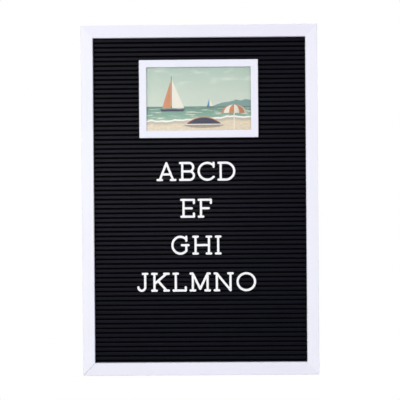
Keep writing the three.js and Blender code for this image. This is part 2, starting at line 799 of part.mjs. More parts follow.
/** A stroke's outline: its line spread to both sides, with half-round ends, or a ring if it closes. */
function strokeOutline(line) {
  const points = line.map(([x, z]) => new THREE.Vector2(x, z));
  const last = points.length - 1;
  const closed = points[0].distanceTo(points[last]) < MERGE_DISTANCE;
  const normals = points.map((_, i) => {
    const before = points[closed && i === 0 ? last - 1 : Math.max(i - 1, 0)];
    const after = points[closed && i === last ? 1 : Math.min(i + 1, last)];
    const along = after.clone().sub(before).normalize();
    return new THREE.Vector2(-along.y, along.x);
  });
  const offset = (side) => points.map((p, i) => p.clone().addScaledVector(normals[i], (side * STROKE) / 2));
  const left = offset(1);
  const right = offset(-1);
  if (closed) {
    const ring = new THREE.Shape(right.slice(0, last));
    ring.holes.push(new THREE.Path(left.slice(0, last)));
    return ring;
  }
  const outline = new THREE.Shape(right);
  const cap = (i, turn) => {
    const start = normals[i].angle() + turn;
    outline.absarc(points[i].x, points[i].y, STROKE / 2, start, start + Math.PI);
  };
  cap(last, -Math.PI);
  left.reverse().forEach((p) => outline.lineTo(p.x, p.y));
  cap(0, 0);
  return outline;
}

function letter(name, x, groove) {
  const half = (LETTER_WIDTHS[name] - STROKE) / 2;
  const { strokes, pegs } = LETTERS[name](half);
  const backY = CREST_Y - FIT;
  const bars = strokes.map((line) =>
    easedPrism(strokeOutline(line), LETTER_THICKNESS, backY, LETTER_EDGE, CAP_STEPS),
  );
  const blades = pegs.map(([pegX, count]) =>
    peg(pegX, count * GROOVE_PITCH, backY - LETTER_THICKNESS / 2, LETTER_PEG_WIDTH),
  );
  const mesh = piece(`letter_${name}`, join([...bars, ...blades]), WHITE_PLASTIC);
  mesh.position.set(x, 0, grooveZ(groove));
  return mesh;
}

/** A row of letters side by side. */
function letterRow(letters, row) {
  const names = [...letters];
  const total = names.reduce((sum, name) => sum + LETTER_WIDTHS[name] + LETTER_GAP, -LETTER_GAP);
  let edge = ROW_X - total / 2;
  return names.map((name) => {
    const width = LETTER_WIDTHS[name];
    const x = edge + width / 2;
    edge += width + LETTER_GAP;
    return letter(name, x, FIRST_ROW_COUNT - row * ROW_STEP_COUNT);
  });
}

// Assembly, hung with the hanger's middle notch at the origin

const board = new THREE.Group();
board.add(...frameRails());
board.add(groovedPanel(), backingBoard());
board.add(sawToothHanger(), hangerNail(-1, "hanger_nail_left"), hangerNail(1, "hanger_nail_right"));
board.add(photoFrame());
board.add(...ROWS.flatMap(letterRow));
board.position.z = -HOOK_Z;

const letterBoard = new THREE.Group();
letterBoard.add(board);

export default letterBoard;
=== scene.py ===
# %% [markdown]
# # A wall letter board, dressed round its CAD model
# A white mitred frame holds a black grooved panel. Letters and a small photo frame push into the grooves.
# The CAD model already holds every size, place and motion, so this lesson only gives the surfaces their
# fine shape and their finish. It works in metres, in the model's own frame: +X is right and +Z up as seen
# from the front, which faces -Y.

# %% Load the CAD model
import json
import math

import bpy
import numpy as np
from mathutils import Matrix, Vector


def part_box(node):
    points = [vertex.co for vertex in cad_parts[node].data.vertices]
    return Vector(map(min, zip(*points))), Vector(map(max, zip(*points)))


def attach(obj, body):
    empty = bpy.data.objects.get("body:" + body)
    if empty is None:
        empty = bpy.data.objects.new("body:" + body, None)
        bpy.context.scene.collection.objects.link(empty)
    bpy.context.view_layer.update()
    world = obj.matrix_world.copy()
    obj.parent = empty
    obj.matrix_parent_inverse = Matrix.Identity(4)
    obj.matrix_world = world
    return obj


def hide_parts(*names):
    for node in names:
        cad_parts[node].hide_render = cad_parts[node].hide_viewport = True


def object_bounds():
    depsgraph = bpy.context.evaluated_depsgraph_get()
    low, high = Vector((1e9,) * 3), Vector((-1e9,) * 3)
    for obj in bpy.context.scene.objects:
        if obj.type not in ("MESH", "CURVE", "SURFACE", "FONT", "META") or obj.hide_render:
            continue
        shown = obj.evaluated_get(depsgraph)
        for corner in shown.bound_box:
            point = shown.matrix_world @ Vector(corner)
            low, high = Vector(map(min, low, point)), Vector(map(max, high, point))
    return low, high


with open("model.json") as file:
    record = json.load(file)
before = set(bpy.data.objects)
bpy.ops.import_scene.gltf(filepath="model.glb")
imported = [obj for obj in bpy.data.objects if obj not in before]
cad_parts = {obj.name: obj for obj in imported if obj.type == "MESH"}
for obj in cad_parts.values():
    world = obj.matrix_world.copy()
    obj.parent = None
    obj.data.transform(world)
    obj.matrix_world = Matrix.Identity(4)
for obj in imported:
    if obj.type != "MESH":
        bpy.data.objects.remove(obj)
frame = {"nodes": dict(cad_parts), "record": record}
cad_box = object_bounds()
MM = 0.001


def in_mm(lengths):
    """Lengths in metres as rounded millimetres, for printing."""
    return [round(float(length) / MM, 2) for length in lengths]


print("board:", in_mm(cad_box[1] - cad_box[0]), "mm")

# %% [markdown]
# The record says which finish each node has, and which body carries it. A new piece names the node that
# it stands for to find its body, and the finishes pick out the steel pieces.

# %% Bodies and finishes by node
carrier = {node: body for body, nodes in frame["record"]["behaviour"]["bodies"].items() for node in nodes}
finish_slot = {row["node"]: row["material_slot"] for row in frame["record"]["subparts"]}
LETTER_NODES = sorted(node for node in frame["nodes"] if node.startswith("letter_"))
STEEL_NODES = sorted(node for node, slot in finish_slot.items() if slot == "steel")


def node_points(node):
    """Every corner of a CAD node's triangles, one row of x, y, z each."""
    vertices = frame["nodes"][node].data.vertices
    points = np.empty(len(vertices) * 3, np.float32)
    vertices.foreach_get("co", points)
    return points.reshape(-1, 3).astype(float)


def node_box(node):
    """A CAD node's lowest corner, highest corner and middle at rest."""
    low, high = (np.array(corner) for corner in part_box(node))
    return low, high, (low + high) / 2


print("letters:", len(LETTER_NODES), "steel pieces:", len(STEEL_NODES))

# %% [markdown]
# New pieces are grids of points. A grid's quads follow from its numbers of rows and columns alone, and a
# grid that closes on itself wraps its last row or column round to its first.

# %% Meshes from grids
def grid_quads(rows, columns, wrap_rows=False, wrap_columns=False):
    """Corner numbers of a grid's quads, where point (row, column) has the number row * columns + column."""
    row = np.arange(rows if wrap_rows else rows - 1)[:, None]
    column = np.arange(columns if wrap_columns else columns - 1)[None, :]
    next_row = (row + 1) % rows
    next_column = (column + 1) % columns
    corners = [
        row * columns + column,
        row * columns + next_column,
        next_row * columns + next_column,
        next_row * columns + column,
    ]
    return np.stack(corners, axis=-1).reshape(-1, 4)


def add_object(name, data):
    """An object at the origin that holds a mesh, a lamp or a camera."""
    thing = bpy.data.objects.new(name, data)
    bpy.context.scene.collection.objects.link(thing)
    return thing


def new_piece(name, points, faces):
    """A mesh object from points in metres and faces as lists of point numbers."""
    mesh = bpy.data.meshes.new(name)
    mesh.from_pydata(points.reshape(-1, 3).tolist(), [], faces)
    mesh.update()
    return add_object(name, mesh)


def at_depths(flat, depth):
    """Points x, y, z from flat points (x, z) and depths y, one for each point or one for each ring."""
    depth = np.broadcast_to(depth, flat.shape[:-1])
    return np.stack([flat[..., 0], depth, flat[..., 1]], axis=-1)


def lofted(name, rings):
    """A closed piece from rings of points, an array of ring, point and xyz, flat on each end ring."""
    count, around = rings.shape[:2]
    walls = grid_quads(count, around, wrap_columns=True).tolist()
    first = np.arange(around)[::-1].tolist()
    last = (np.arange(around) + (count - 1) * around).tolist()
    return new_piece(name, rings, [*walls, first, last])


print("quads of a grid with 3 rows and 5 columns:", len(grid_quads(3, 5)))

# %% [markdown]
# Moulded and sawn edges are slightly round, so light runs over them without a hard step. A small node group
# sets the normals for that: an edge that turns by a little is shaded smoothly, and only a steep one looks
# sharp. Weighted normals then keep the large flat faces flat.

# %% Normals of finished shapes
STEEP = math.radians(40)


def crisp_normals():
    """Geometry nodes: smooth shading over edges that turn by less than STEEP, and sharp over others."""
    tree = bpy.data.node_groups.new("crisp_normals", "GeometryNodeTree")
    tree.interface.new_socket("Geometry", in_out="INPUT", socket_type="NodeSocketGeometry")
    tree.interface.new_socket("Geometry", in_out="OUTPUT", socket_type="NodeSocketGeometry")
    entry = tree.nodes.new("NodeGroupInput")
    exit_ = tree.nodes.new("NodeGroupOutput")
    angle = tree.nodes.new("GeometryNodeInputMeshEdgeAngle")
    steep = tree.nodes.new("FunctionNodeCompare")
    steep.operation = "GREATER_THAN"
    steep.inputs["B"].default_value = STEEP
    normals = tree.nodes.new("GeometryNodeSetMeshNormal")
    normals.mode = "SHARPNESS"
    normals.inputs["Remove Custom"].default_value = True
    normals.inputs["Face Sharpness"].default_value = False
    tree.links.new(angle.outputs["Unsigned Angle"], steep.inputs["A"])
    tree.links.new(steep.outputs["Result"], normals.inputs["Edge Sharpness"])
    tree.links.new(entry.outputs["Geometry"], normals.inputs["Mesh"])
    tree.links.new(normals.outputs["Mesh"], exit_.inputs["Geometry"])
    return tree


CRISP = crisp_normals()


def smooth_shading(piece):
    """Normals for a finished shape: large flat faces stay flat, and round edges blend into them."""
    piece.modifiers.new("normals", "NODES").node_group = CRISP
    weighted = piece.modifiers.new("weighted", "WEIGHTED_NORMAL")
    weighted.keep_sharp = True


print("edges stay sharp above a turn of", round(math.degrees(STEEP)), "degrees")

# %% [markdown]
# A CAD node that has the right shape stays. It arrives as loose triangles with hard edges, and modifiers
# ease those without touching the node's mesh: Weld closes the triangles up, Decimate joins the flat ones,
# and Bevel rounds what is left. A new piece that is finer than its node takes the node's place instead, on
# the same body, with a finish given to it, while the node is hidden.

# %% Dressed nodes and stand-ins
WELD_DISTANCE = 0.002 * MM
FLAT_ANGLE = math.radians(0.5)
BEVEL_STEPS = 2


def merge_flat(piece, angle):
    """Joins neighbouring faces that turn by less than an angle."""
    flat = piece.modifiers.new("flat", "DECIMATE")
    flat.decimate_type = "DISSOLVE"
    flat.angle_limit = angle


def dress(node, finish, ease):
    """Gives a CAD node a finish, on the object and not on its mesh, and rounds its edges by a width."""
    piece = frame["nodes"][node]
    piece.material_slots[0].link = "OBJECT"
    piece.material_slots[0].material = finish
    piece.modifiers.new("weld", "WELD").merge_threshold = WELD_DISTANCE
    merge_flat(piece, FLAT_ANGLE)
    bevel = piece.modifiers.new("bevel", "BEVEL")
    bevel.width = ease
    bevel.segments = BEVEL_STEPS
    bevel.limit_method = "ANGLE"
    bevel.angle_limit = STEEP
    smooth_shading(piece)


def stand_in(piece, node, finish):
    """Puts a new piece in the place of a CAD node: on its body, with a finish, and hides the node."""
    piece.data.materials.append(finish)
    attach(piece, carrier[node])
    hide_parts(node)
    smooth_shading(piece)


print("corners of a node are joined within", WELD_DISTANCE / MM, "mm")

# %% [markdown]
# Shader formulas are easier to read as sums than as wires. A Field is a socket whose number varies over the
# surface. Adding, multiplying or comparing fields adds the Math nodes, and `rise` is a smooth step from 0
# to 1.

# %% Fields for shader formulas
def plug(tree, socket, value):
    """Fills an input with a field, a socket, a colour or a number."""
    if isinstance(value, Field):
        tree.links.new(value.socket, socket)
    elif isinstance(value, bpy.types.NodeSocket):
        tree.links.new(value, socket)
    elif socket.type == "RGBA":
        socket.default_value = (*value, 1.0)
    else:
        socket.default_value = value


def fill(tree, node, inputs):
    """Fills several inputs of a node, given by name or number."""
    for key, value in inputs.items():
        plug(tree, node.inputs[key], value)


def shader_node(tree, kind, inputs, **settings):
    """Adds a shader node with its settings, and fills its inputs."""
    node = tree.nodes.new("ShaderNode" + kind)
    for key, value in settings.items():
        setattr(node, key, value)
    fill(tree, node, inputs)
    return node


class Field:
    """A number over a surface, as a node socket."""

    def __init__(self, tree, socket):
        self.tree = tree
        self.socket = socket

    def math(self, operation, *others):
        """The result of a Math node on this field and others."""
        inputs = dict(enumerate((self, *others)))
        return Field(self.tree, shader_node(self.tree, "Math", inputs, operation=operation).outputs[0])

    def __add__(self, other):
        return self.math("ADD", other)

    def __sub__(self, other):
        return self.math("SUBTRACT", other)

    def __mul__(self, other):
        return self.math("MULTIPLY", other)

    def __neg__(self):
        return self.math("MULTIPLY", -1.0)

    def __abs__(self):
        return self.math("ABSOLUTE")

    def sine(self):
        """The sine of the number, in radians."""
        return self.math("SINE")

    def most(self, other):
        """The larger of two numbers."""
        return self.math("MAXIMUM", other)

    def least(self, other):
        """The smaller of two numbers."""
        return self.math("MINIMUM", other)

    def rise(self, low, high):
        """0 below low and 1 above high, with a smooth step between. It falls where low is above high."""
        inputs = {"Value": self, "From Min": low, "From Max": high}
        step = shader_node(self.tree, "MapRange", inputs, interpolation_type="SMOOTHSTEP")
        return Field(self.tree, step.outputs["Result"])


print("a field can:", [name for name in vars(Field) if not name.startswith("_")])

# %% [markdown]
# Every finish starts from a few building blocks: the coordinates of the piece, noise over them, colours
# blended by a mask, and bumps of a real depth. Coordinates that are shrunk along one axis draw the noise
# out along it, which makes streaks and wood grain.

# %% Building blocks of finishes
def blend(tree, mask, under, over):
    """The colour `under` where the mask is 0, and `over` where it is 1."""
    inputs = {0: mask, 6: under, 7: over}
    return shader_node(tree, "Mix", inputs, data_type="RGBA").outputs[2]


def dimmed(colour, share):
    """A colour with each of its parts multiplied by a share."""
    return tuple(share * part for part in colour)


def object_place(tree):
    """The piece's own coordinates, which are the model's frame because every piece sits at the origin."""
    return shader_node(tree, "TexCoord", {}).outputs["Object"]


def scaled(tree, place, factors, middle=(0.0, 0.0, 0.0)):
    """Coordinates measured from a middle and multiplied by a factor on each axis."""
    moved = shader_node(tree, "VectorMath", {0: place, 1: middle}, operation="SUBTRACT").outputs[0]
    return shader_node(tree, "VectorMath", {0: moved, 1: factors}, operation="MULTIPLY").outputs[0]


def axes(tree, place):
    """The x, y and z of coordinates as three fields."""
    parts = shader_node(tree, "SeparateXYZ", {"Vector": place}).outputs
    return [Field(tree, part) for part in parts]


def noise(tree, place, scale, detail=2.0):
    """Smooth random numbers, about 0.5 on average, with `scale` bumps to a unit of length."""
    node = shader_node(tree, "TexNoise", {"Vector": place, "Scale": scale, "Detail": detail})
    return Field(tree, node.outputs["Fac"])


def bumped(tree, height, depth):
    """Normals of a surface whose height field runs from 0 to 1 over a real depth in metres."""
    return shader_node(tree, "Bump", {"Height": height, "Distance": depth}).outputs["Normal"]


def new_finish(name):
    """A material, its node tree and its Principled shader."""
    finish = bpy.data.materials.new(name)
    finish.use_nodes = True
    return finish, finish.node_tree, finish.node_tree.nodes["Principled BSDF"]


print("a colour dimmed to a half:", dimmed((0.8, 0.4, 0.2), 0.5))

# %% [markdown]
# Every finish on this board is a skin with two kinds of unevenness: a slow mottling in colour and gloss,
# and a fine grain that the light picks out. One node group makes both, and each material places it with
# coordinates stretched along its own grain.

# %% A shared group for skin texture
FINE_TO_COARSE = 2.7
COARSE_SHARE = 0.65


def skin_texture_group():
    """Shader group: Grain is two octaves of fine noise from 0 to 1, and Mottle slow noise from -1 to 1."""
    tree = bpy.data.node_groups.new("skin_texture", "ShaderNodeTree")
    for name, kind in [("Vector", "Vector"), ("Grain Scale", "Float"), ("Mottle Scale", "Float")]:
        tree.interface.new_socket(name, in_out="INPUT", socket_type="NodeSocket" + kind)
    for name in ("Grain", "Mottle"):
        tree.interface.new_socket(name, in_out="OUTPUT", socket_type="NodeSocketFloat")
    given = tree.nodes.new("NodeGroupInput").outputs
    fine_scale = Field(tree, given["Grain Scale"]) * FINE_TO_COARSE
    coarse = noise(tree, given["Vector"], given["Grain Scale"], detail=3.0)
    fine = noise(tree, given["Vector"], fine_scale, detail=1.0)
    slow = noise(tree, given["Vector"], given["Mottle Scale"])
    grain = coarse * COARSE_SHARE + fine * (1 - COARSE_SHARE)
    fill(tree, tree.nodes.new("NodeGroupOutput"), {"Grain": grain, "Mottle": slow * 2.0 - 1.0})
    return tree


SKIN = skin_texture_group()


def skin(tree, place, grain_scale, mottle_scale):
    """Grain and mottle of a surface, as two fields. The scales are in bumps to a metre."""
    inputs = {"Vector": place, "Grain Scale": grain_scale, "Mottle Scale": mottle_scale}
    outputs = shader_node(tree, "Group", inputs, node_tree=SKIN).outputs
    return Field(tree, outputs["Grain"]), Field(tree, outputs["Mottle"])


print("nodes in the skin texture:", len(SKIN.nodes))

# %% [markdown]
# The rails are wood moulding under white satin lacquer. Nobody sprays the back: the rear face, the rebate
# and the mitre cuts are bare pine. The mask for that comes from where a point lies: behind the rear edge,
# deeper from the outer edge than the frame's wall, or on a face cut aslant, where the spray reaches in
# by a few millimetres.

# %% Bare wood on the rails
board_low, board_high = (np.array(corner) for corner in cad_box)
BOARD_HALF_WIDTH = board_high[0]
BOARD_MIDDLE_Z = (board_low[2] + board_high[2]) / 2
BOARD_HALF_HEIGHT = (board_high[2] - board_low[2]) / 2
# Each pair is where the lacquer starts to fade and where the wood is bare.
REAR_FADE = (-0.4 * MM, -0.1 * MM)
WALL_FADE = (9.3 * MM, 9.45 * MM)
SHOULDER_FADE = (-13.4 * MM, -13.3 * MM)
MITRE_FADE = (-16.0 * MM, -15.0 * MM)
ASLANT = (0.35, 0.45)


def bare_wood(tree, place):
    """1 on the rear face, in the rebate and on the mitre cuts, and 0 on the sprayed faces."""
    x, y, z = axes(tree, place)
    from_side = -abs(x) + BOARD_HALF_WIDTH
    from_end = -abs(z - BOARD_MIDDLE_Z) + BOARD_HALF_HEIGHT
    rebate = from_side.least(from_end).rise(*WALL_FADE) * y.rise(*SHOULDER_FADE)
    normal = shader_node(tree, "NewGeometry", {}).outputs["True Normal"]
    normal_x, _, normal_z = axes(tree, normal)
    mitre = abs(normal_x * normal_z).rise(*ASLANT) * y.rise(*MITRE_FADE)
    return y.rise(*REAR_FADE).most(rebate).most(mitre)


print("half width and half height:", in_mm((BOARD_HALF_WIDTH, BOARD_HALF_HEIGHT)), "mm")

# %% [markdown]
# The spray leaves a faint orange peel, and the wood's grain just shows through it along each rail. So the
# level and the upright rails have the same lacquer, with the noise drawn out along different axes. The
# level ones have a white painted a shade darker, as painted shade for the side light that falls across
# their grain. All four keep their CAD shape, in which the front edges are already round, so the bevel only
# takes the sharpness off the mitres, the back and the slots.

# %% Rails
UPRIGHT_WHITE = (0.87, 0.88, 0.955)
# The level rails' white is a little darker: painted shade for the side light across their grain.
LEVEL_PAINTED_SHADE_WHITE = (0.845, 0.84, 0.94)
PINE_PALE = (0.60, 0.43, 0.25)
PINE_DARK = (0.44, 0.28, 0.14)
GRAIN_DRAW = 0.03
RAIL_EASE = 0.12 * MM


def lacquered_rail(name, white, along):
    """White lacquer on wood. `along` shrinks the coordinates along the rail, which draws the grain out."""
    finish, tree, shader = new_finish(name)
    place = object_place(tree)
    peel, mottle = skin(tree, place, grain_scale=700.0, mottle_scale=14.0)
    fibre, figure = skin(tree, scaled(tree, place, along), grain_scale=1100.0, mottle_scale=160.0)
    bare = bare_wood(tree, place)
    lacquer = blend(tree, mottle.rise(-0.6, 0.6), white, dimmed(white, 0.975))
    pine = blend(tree, fibre.rise(0.35, 0.65), PINE_PALE, PINE_DARK)
    height = peel * 0.25 + fibre * (bare * 0.5 + 0.15) + figure * 0.1
    inputs = {
        "Base Color": blend(tree, bare, lacquer, pine),
        "Roughness": mottle * 0.04 + bare * 0.35 + 0.38,
        "Normal": bumped(tree, height, depth=0.03 * MM),
    }
    fill(tree, shader, inputs)
    return finish


# The level rails and the mitre films get the white with painted shade.
level_lacquer_painted_shade = lacquered_rail("level_rail_lacquer_painted_shade", LEVEL_PAINTED_SHADE_WHITE, (GRAIN_DRAW, 1.0, 1.0))
lacquer_upright = lacquered_rail("lacquer_upright_rail", UPRIGHT_WHITE, (1.0, 1.0, GRAIN_DRAW))
for finish, sides in [(level_lacquer_painted_shade, ("bottom", "top")), (lacquer_upright, ("left", "right"))]:
    for side in sides:
        dress(f"frame_rail_{side}", finish, RAIL_EASE)
print("rails: 4, eased by", RAIL_EASE / MM, "mm")

# %% [markdown]
# The frame is joined before it is sprayed, so lacquer bridges the mitres. In the photograph three of them
# are closed, and only the lower left one shows as a fine line. A strip flush with the face fills each of
# the three. It is narrower at its root, where the eased edges meet, and it bends back with the face's round
# edges at its ends.

# %% Lacquer in the mitres
RAIL_EDGE = 0.9 * MM
FILM_WIDTH = 0.53 * MM
FILM_ROOT = 0.27 * MM
FILM_DEPTH = 0.13 * MM
FILM_SINK = 0.005 * MM
FILM_STEPS = 81
FILM_START = 0.02  # share of the mitre that stays open at its outer point


def extent(node, axis):
    """Size of a CAD node along an axis, 0 for x, 1 for y and 2 for z."""
    low, high, _ = node_box(node)
    return high[axis] - low[axis]


def mitre_film(name, side, end):
    """A strip along the mitre of a corner, from its outer to its inner point. With e for the radius of the
    face's edge and d for the distance from the nearer edge, its front lies at
    y = face + e - sqrt(e * e - (e - d) * (e - d))."""
    share = np.linspace(FILM_START, 1, FILM_STEPS)
    corner = np.array([side * BOARD_HALF_WIDTH, BOARD_MIDDLE_Z + end * BOARD_HALF_HEIGHT])
    inwards = np.array([-side * extent("frame_rail_left", 0), -end * extent("frame_rail_top", 2)])
    short = np.maximum(RAIL_EDGE - np.minimum(share, 1 - share) * abs(inwards[0]), 0)
    front = board_low[1] + FILM_SINK + RAIL_EDGE - np.sqrt(RAIL_EDGE**2 - short**2)
    across = np.array([inwards[1], -inwards[0]]) / np.linalg.norm(inwards)
    spread = np.array([FILM_WIDTH, FILM_ROOT, -FILM_ROOT, -FILM_WIDTH])[:, None] * across / 2
    flat = (corner + share[:, None] * inwards)[:, None] + spread
    return lofted(name, at_depths(flat, front[:, None] + np.array([0, FILM_DEPTH, FILM_DEPTH, 0])))


for place, side, end in [("upper_left", -1, 1), ("upper_right", 1, 1), ("lower_right", 1, -1)]:
    film = mitre_film(f"mitre_film_{place}", side, end)
    film.data.materials.append(level_lacquer_painted_shade)
    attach(film, carrier["frame_rail_top"])
print("mitres closed: 3, by a film", FILM_WIDTH / MM, "mm wide")

# %% [markdown]
# The panel is extruded black plastic. Its ribs have soft shoulders and a satin face, and the grooves
# between them swallow the light; a painted shade in their colour darkens them further. Instead of bump,
# the ribs are real geometry: one profile up the panel, carried across it. The groove walls are read from
# the CAD node, so the profile can't drift from what the letters plug into.

# %% Profile of the grooved panel
MICRONS = 6  # decimal places of a metre
SAME_DEPTH = 0.001 * MM
panel = node_points("grooved_panel")
panel_depths = np.unique(np.round(panel[:, 1], MICRONS))
CREST_Y = panel_depths[0]
GROOVE_FLOOR_Y = panel_depths[-2]
PANEL_BACK_Y = panel_depths[-1]
on_floor = np.isclose(panel[:, 1], GROOVE_FLOOR_Y, atol=SAME_DEPTH)
grooves = np.unique(np.round(panel[on_floor, 2], MICRONS)).reshape(-1, 2)
groove_middles = grooves.mean(axis=1)
SHOULDER_RADIUS = 0.62 * MM
SHOULDER_STEPS = 7
GROOVE_DRAFT = 0.06 * MM


def groove_profile():
    """Profile (y, z) up the panel. At each groove a quarter circle leads in, y = crest + r - r cos t with
    z = wall - r + r sin t. Then come a wall with a little draft and a flat floor, and the mirror image."""
    t = np.linspace(0, math.pi / 2, SHOULDER_STEPS)
    depth = SHOULDER_RADIUS * (1 - np.cos(t))
    setback = SHOULDER_RADIUS * (1 - np.sin(t))
    half_y = np.append(CREST_Y + depth, GROOVE_FLOOR_Y)
    half_shift = np.append(-setback, GROOVE_DRAFT)
    lower = grooves[:, :1] + half_shift
    upper = grooves[:, 1:] - half_shift[::-1]
    z = np.hstack([lower, upper]).ravel()
    y = np.tile(np.append(half_y, half_y[::-1]), len(grooves))
    low, high = panel[:, 2].min(), panel[:, 2].max()
    return np.concatenate([[CREST_Y], y, [CREST_Y]]), np.concatenate([[low], z, [high]])


print("grooves:", len(grooves), "mouth:", *in_mm(np.diff(grooves[0])), "mm")

# %% [markdown]
# The profile's points rise strictly from the bottom to the top, so the flat back can use the same heights.
# A front row, a back row and the two end walls then make one closed piece. The extruder's die leaves fine
# streaks along the ribs, which show in the gloss more than in the colour.

# %% The grooved panel
# GROOVE_SHADE spans the depths over which the grooves' colour fades to a painted shade.
GROOVE_SHADE = (CREST_Y + 0.3 * MM, CREST_Y + 1.4 * MM)
RIB_DARK = (0.0010, 0.0011, 0.0046)
RIB_PALE = (0.0022, 0.0024, 0.0074)
GROOVE_PAINTED_SHADE = (0.0004, 0.0004, 0.0008)


def ribbed_panel(name):
    """The front profile and a flat back at the same heights, both from the left end to the right end."""
    y, z = groove_profile()
    left, right = panel[:, 0].min(), panel[:, 0].max()
    count = len(z)
    back = np.full(count, PANEL_BACK_Y)
    corners = [(left, y), (right, y), (right, back), (left, back)]
    points = np.stack([np.column_stack([np.full(count, x), depth, z]) for x, depth in corners])
    ends = np.arange(4) * count
    bottom = ends[::-1].tolist()
    top = (ends + count - 1).tolist()
    walls = grid_quads(4, count, wrap_rows=True)[:, ::-1].tolist()
    return new_piece(name, points, [*walls, bottom, top])


def satin_black_plastic():
    """Black plastic, streaked along the ribs. The grooves are matt, with shade painted into their colour.
    """
    finish, tree, shader = new_finish("satin_black_plastic")
    place = object_place(tree)
    drawn_out = scaled(tree, place, (GRAIN_DRAW, 1.0, 1.0))
    grain, mottle = skin(tree, place, grain_scale=2600.0, mottle_scale=9.0)
    streak, _ = skin(tree, drawn_out, grain_scale=1500.0, mottle_scale=40.0)
    _, y, _ = axes(tree, place)
    # Painted shade: the colour darkens to near black down in the grooves, which are also matt.
    groove = y.rise(*GROOVE_SHADE)
    rib = blend(tree, streak.rise(0.3, 0.7), RIB_DARK, RIB_PALE)
    inputs = {
        "Base Color": blend(tree, groove, rib, GROOVE_PAINTED_SHADE),
        "Roughness": mottle * 0.05 + streak * 0.20 + groove * 0.8 + 0.26,
        "Normal": bumped(tree, grain * 0.5 + streak * 0.5, depth=0.02 * MM),
        "Specular IOR Level": 0.13,
    }
    fill(tree, shader, inputs)
    return finish


grooved_panel = ribbed_panel("ribbed_panel")
stand_in(grooved_panel, "grooved_panel", satin_black_plastic())
print("ribbed panel faces:", len(grooved_panel.data.polygons))

# %% [markdown]
# The push-in letters are moulded in white plastic: strokes of one width with round ends and slab serifs.
# Each stroke is a profile carried along a centre line, which gives smoother bows and rounder edges than the
# CAD solids have. A centre line is made of straight stems, level slabs and parts of ellipses.

# %% Kinds of strokes
STROKE = 3.0 * MM
SERIF = 2.8 * MM
TICK = 4.0 * MM
BOW_STEPS = 40
OPEN_ANGLE = 42


def bow(x, z, radius_x, radius_z, start, end):
    """Points (x + radius_x cos t, z + radius_z sin t) of an ellipse, for t from start to end in degrees."""
    t = np.radians(np.linspace(start, end, round(BOW_STEPS * abs(end - start) / 180) + 1))
    return np.column_stack([x + radius_x * np.cos(t), z + radius_z * np.sin(t)])


def line(*points):
    """A centre line through points and runs of points."""
    return np.vstack(points)


def stem(x, low, high):
    """An upright stroke."""
    return line((x, low), (x, high))


def slab(x, z, left=SERIF, right=SERIF):
    """A serif: a level stroke that reaches left and right of x."""
    return line((x - left, z), (x + right, z))


def open_bow(half, tip_x, cap):
    """The bow of C and G, which passes -half at the left and has tips at tip_x, and the tips' height."""
    slope = math.radians(OPEN_ANGLE)
    radius = (half + tip_x) / (1 + math.cos(slope))
    return bow(radius - half, 0, radius, cap, OPEN_ANGLE, 360 - OPEN_ANGLE), cap * math.sin(slope)


print("points on half a bow:", len(bow(0, 0, MM, MM, 0, 180)))

# %% [markdown]
# A letter's centre lines follow from two lengths, half its width and half its height, so each letter can
# take both from its CAD node. Stems, bars and serifs that several letters share are worked out once.

# %% Centre lines of the letters
KNEE = 0.3  # share of the arm of K at which its leg starts


def alphabet(half, cap):
    """Strokes of the letters A to O about their middle, for half a width and half a height that are
    measured to the middle of the strokes."""
    side = half - SERIF
    bowl = cap / 2
    upper_bowl = half - bowl - STROKE / 4
    c_bow, tip_z = open_bow(half, half, cap)
    g_bow, _ = open_bow(half, side, cap)
    hook = (half + side) / 2
    fork = -cap / 5
    knee = (-side + 2 * KNEE * side, fork + KNEE * (cap - fork))
    dip = -0.8 * cap
    tip_low = tip_z - SERIF / 2
    spine = stem(-side, -cap, cap)
    mast = stem(side, -cap, cap)
    top_bar = line((-half, cap), (half, cap))
    foot_bar = line((-half, -cap), (half, -cap))
    middle_bar = line((-side, 0), (side, 0))
    top_tick = stem(half, cap - TICK, cap)
    foot_tick = stem(half, -cap, TICK - cap)
    left_slabs = [slab(-side, cap), slab(-side, -cap)]
    right_slabs = [slab(side, cap), slab(side, -cap)]
    return {
        "A": [
            line((-side, -cap), (0, cap)),
            line((side, -cap), (0, cap)),
            slab(0, -cap / 3, side * 2 / 3, side * 2 / 3),
            slab(-side, -cap),
            slab(side, -cap),
        ],
        "B": [
            spine,
            line((-half, cap), bow(upper_bowl, bowl, bowl, bowl, 90, -90), (-side, 0)),
            line((-side, 0), bow(half - bowl, -bowl, bowl, bowl, 90, -90), (-half, -cap)),
        ],
        "C": [c_bow, stem(half, tip_low, cap)],
        "D": [spine, line((-half, cap), bow(half - cap, 0, cap, cap, 90, -90), (-half, -cap))],
        "E": [spine, top_bar, foot_bar, middle_bar, top_tick, foot_tick],
        "F": [spine, top_bar, middle_bar, top_tick, slab(-side, -cap)],
        "G": [g_bow, stem(side, tip_low, cap), stem(side, -tip_z, 0), slab(side, 0, 2 * SERIF)],
        "H": [spine, mast, *left_slabs, *right_slabs, slab(0, 0, side, side)],
        "I": [stem(0, -cap, cap), slab(0, cap), slab(0, -cap)],
        "J": [line((side, cap), bow(side - hook, hook - cap, hook, hook, 0, -180)), slab(side, cap)],
        "K": [
            spine,
            *left_slabs,
            line((-side, fork), (side, cap)),
            line(knee, (side, -cap)),
            *right_slabs,
        ],
        "L": [spine, slab(-side, cap), foot_bar, foot_tick],
        "M": [
            spine,
            mast,
            line((-side, cap), (0, dip)),
            line((side, cap), (0, dip)),
            slab(-side, cap, SERIF, 0),
            slab(side, cap, 0, SERIF),
            slab(-side, -cap),
            slab(side, -cap),
        ],
        "N": [
            spine,
            mast,
            line((-side, cap), (side, -cap)),
            slab(-side, cap, SERIF, 0),
            slab(-side, -cap),
            slab(side, cap),
        ],
        "O": [bow(0, 0, half, cap, 0, 360)],
    }


print("letters drawn:", *alphabet(10 * MM, 10 * MM))

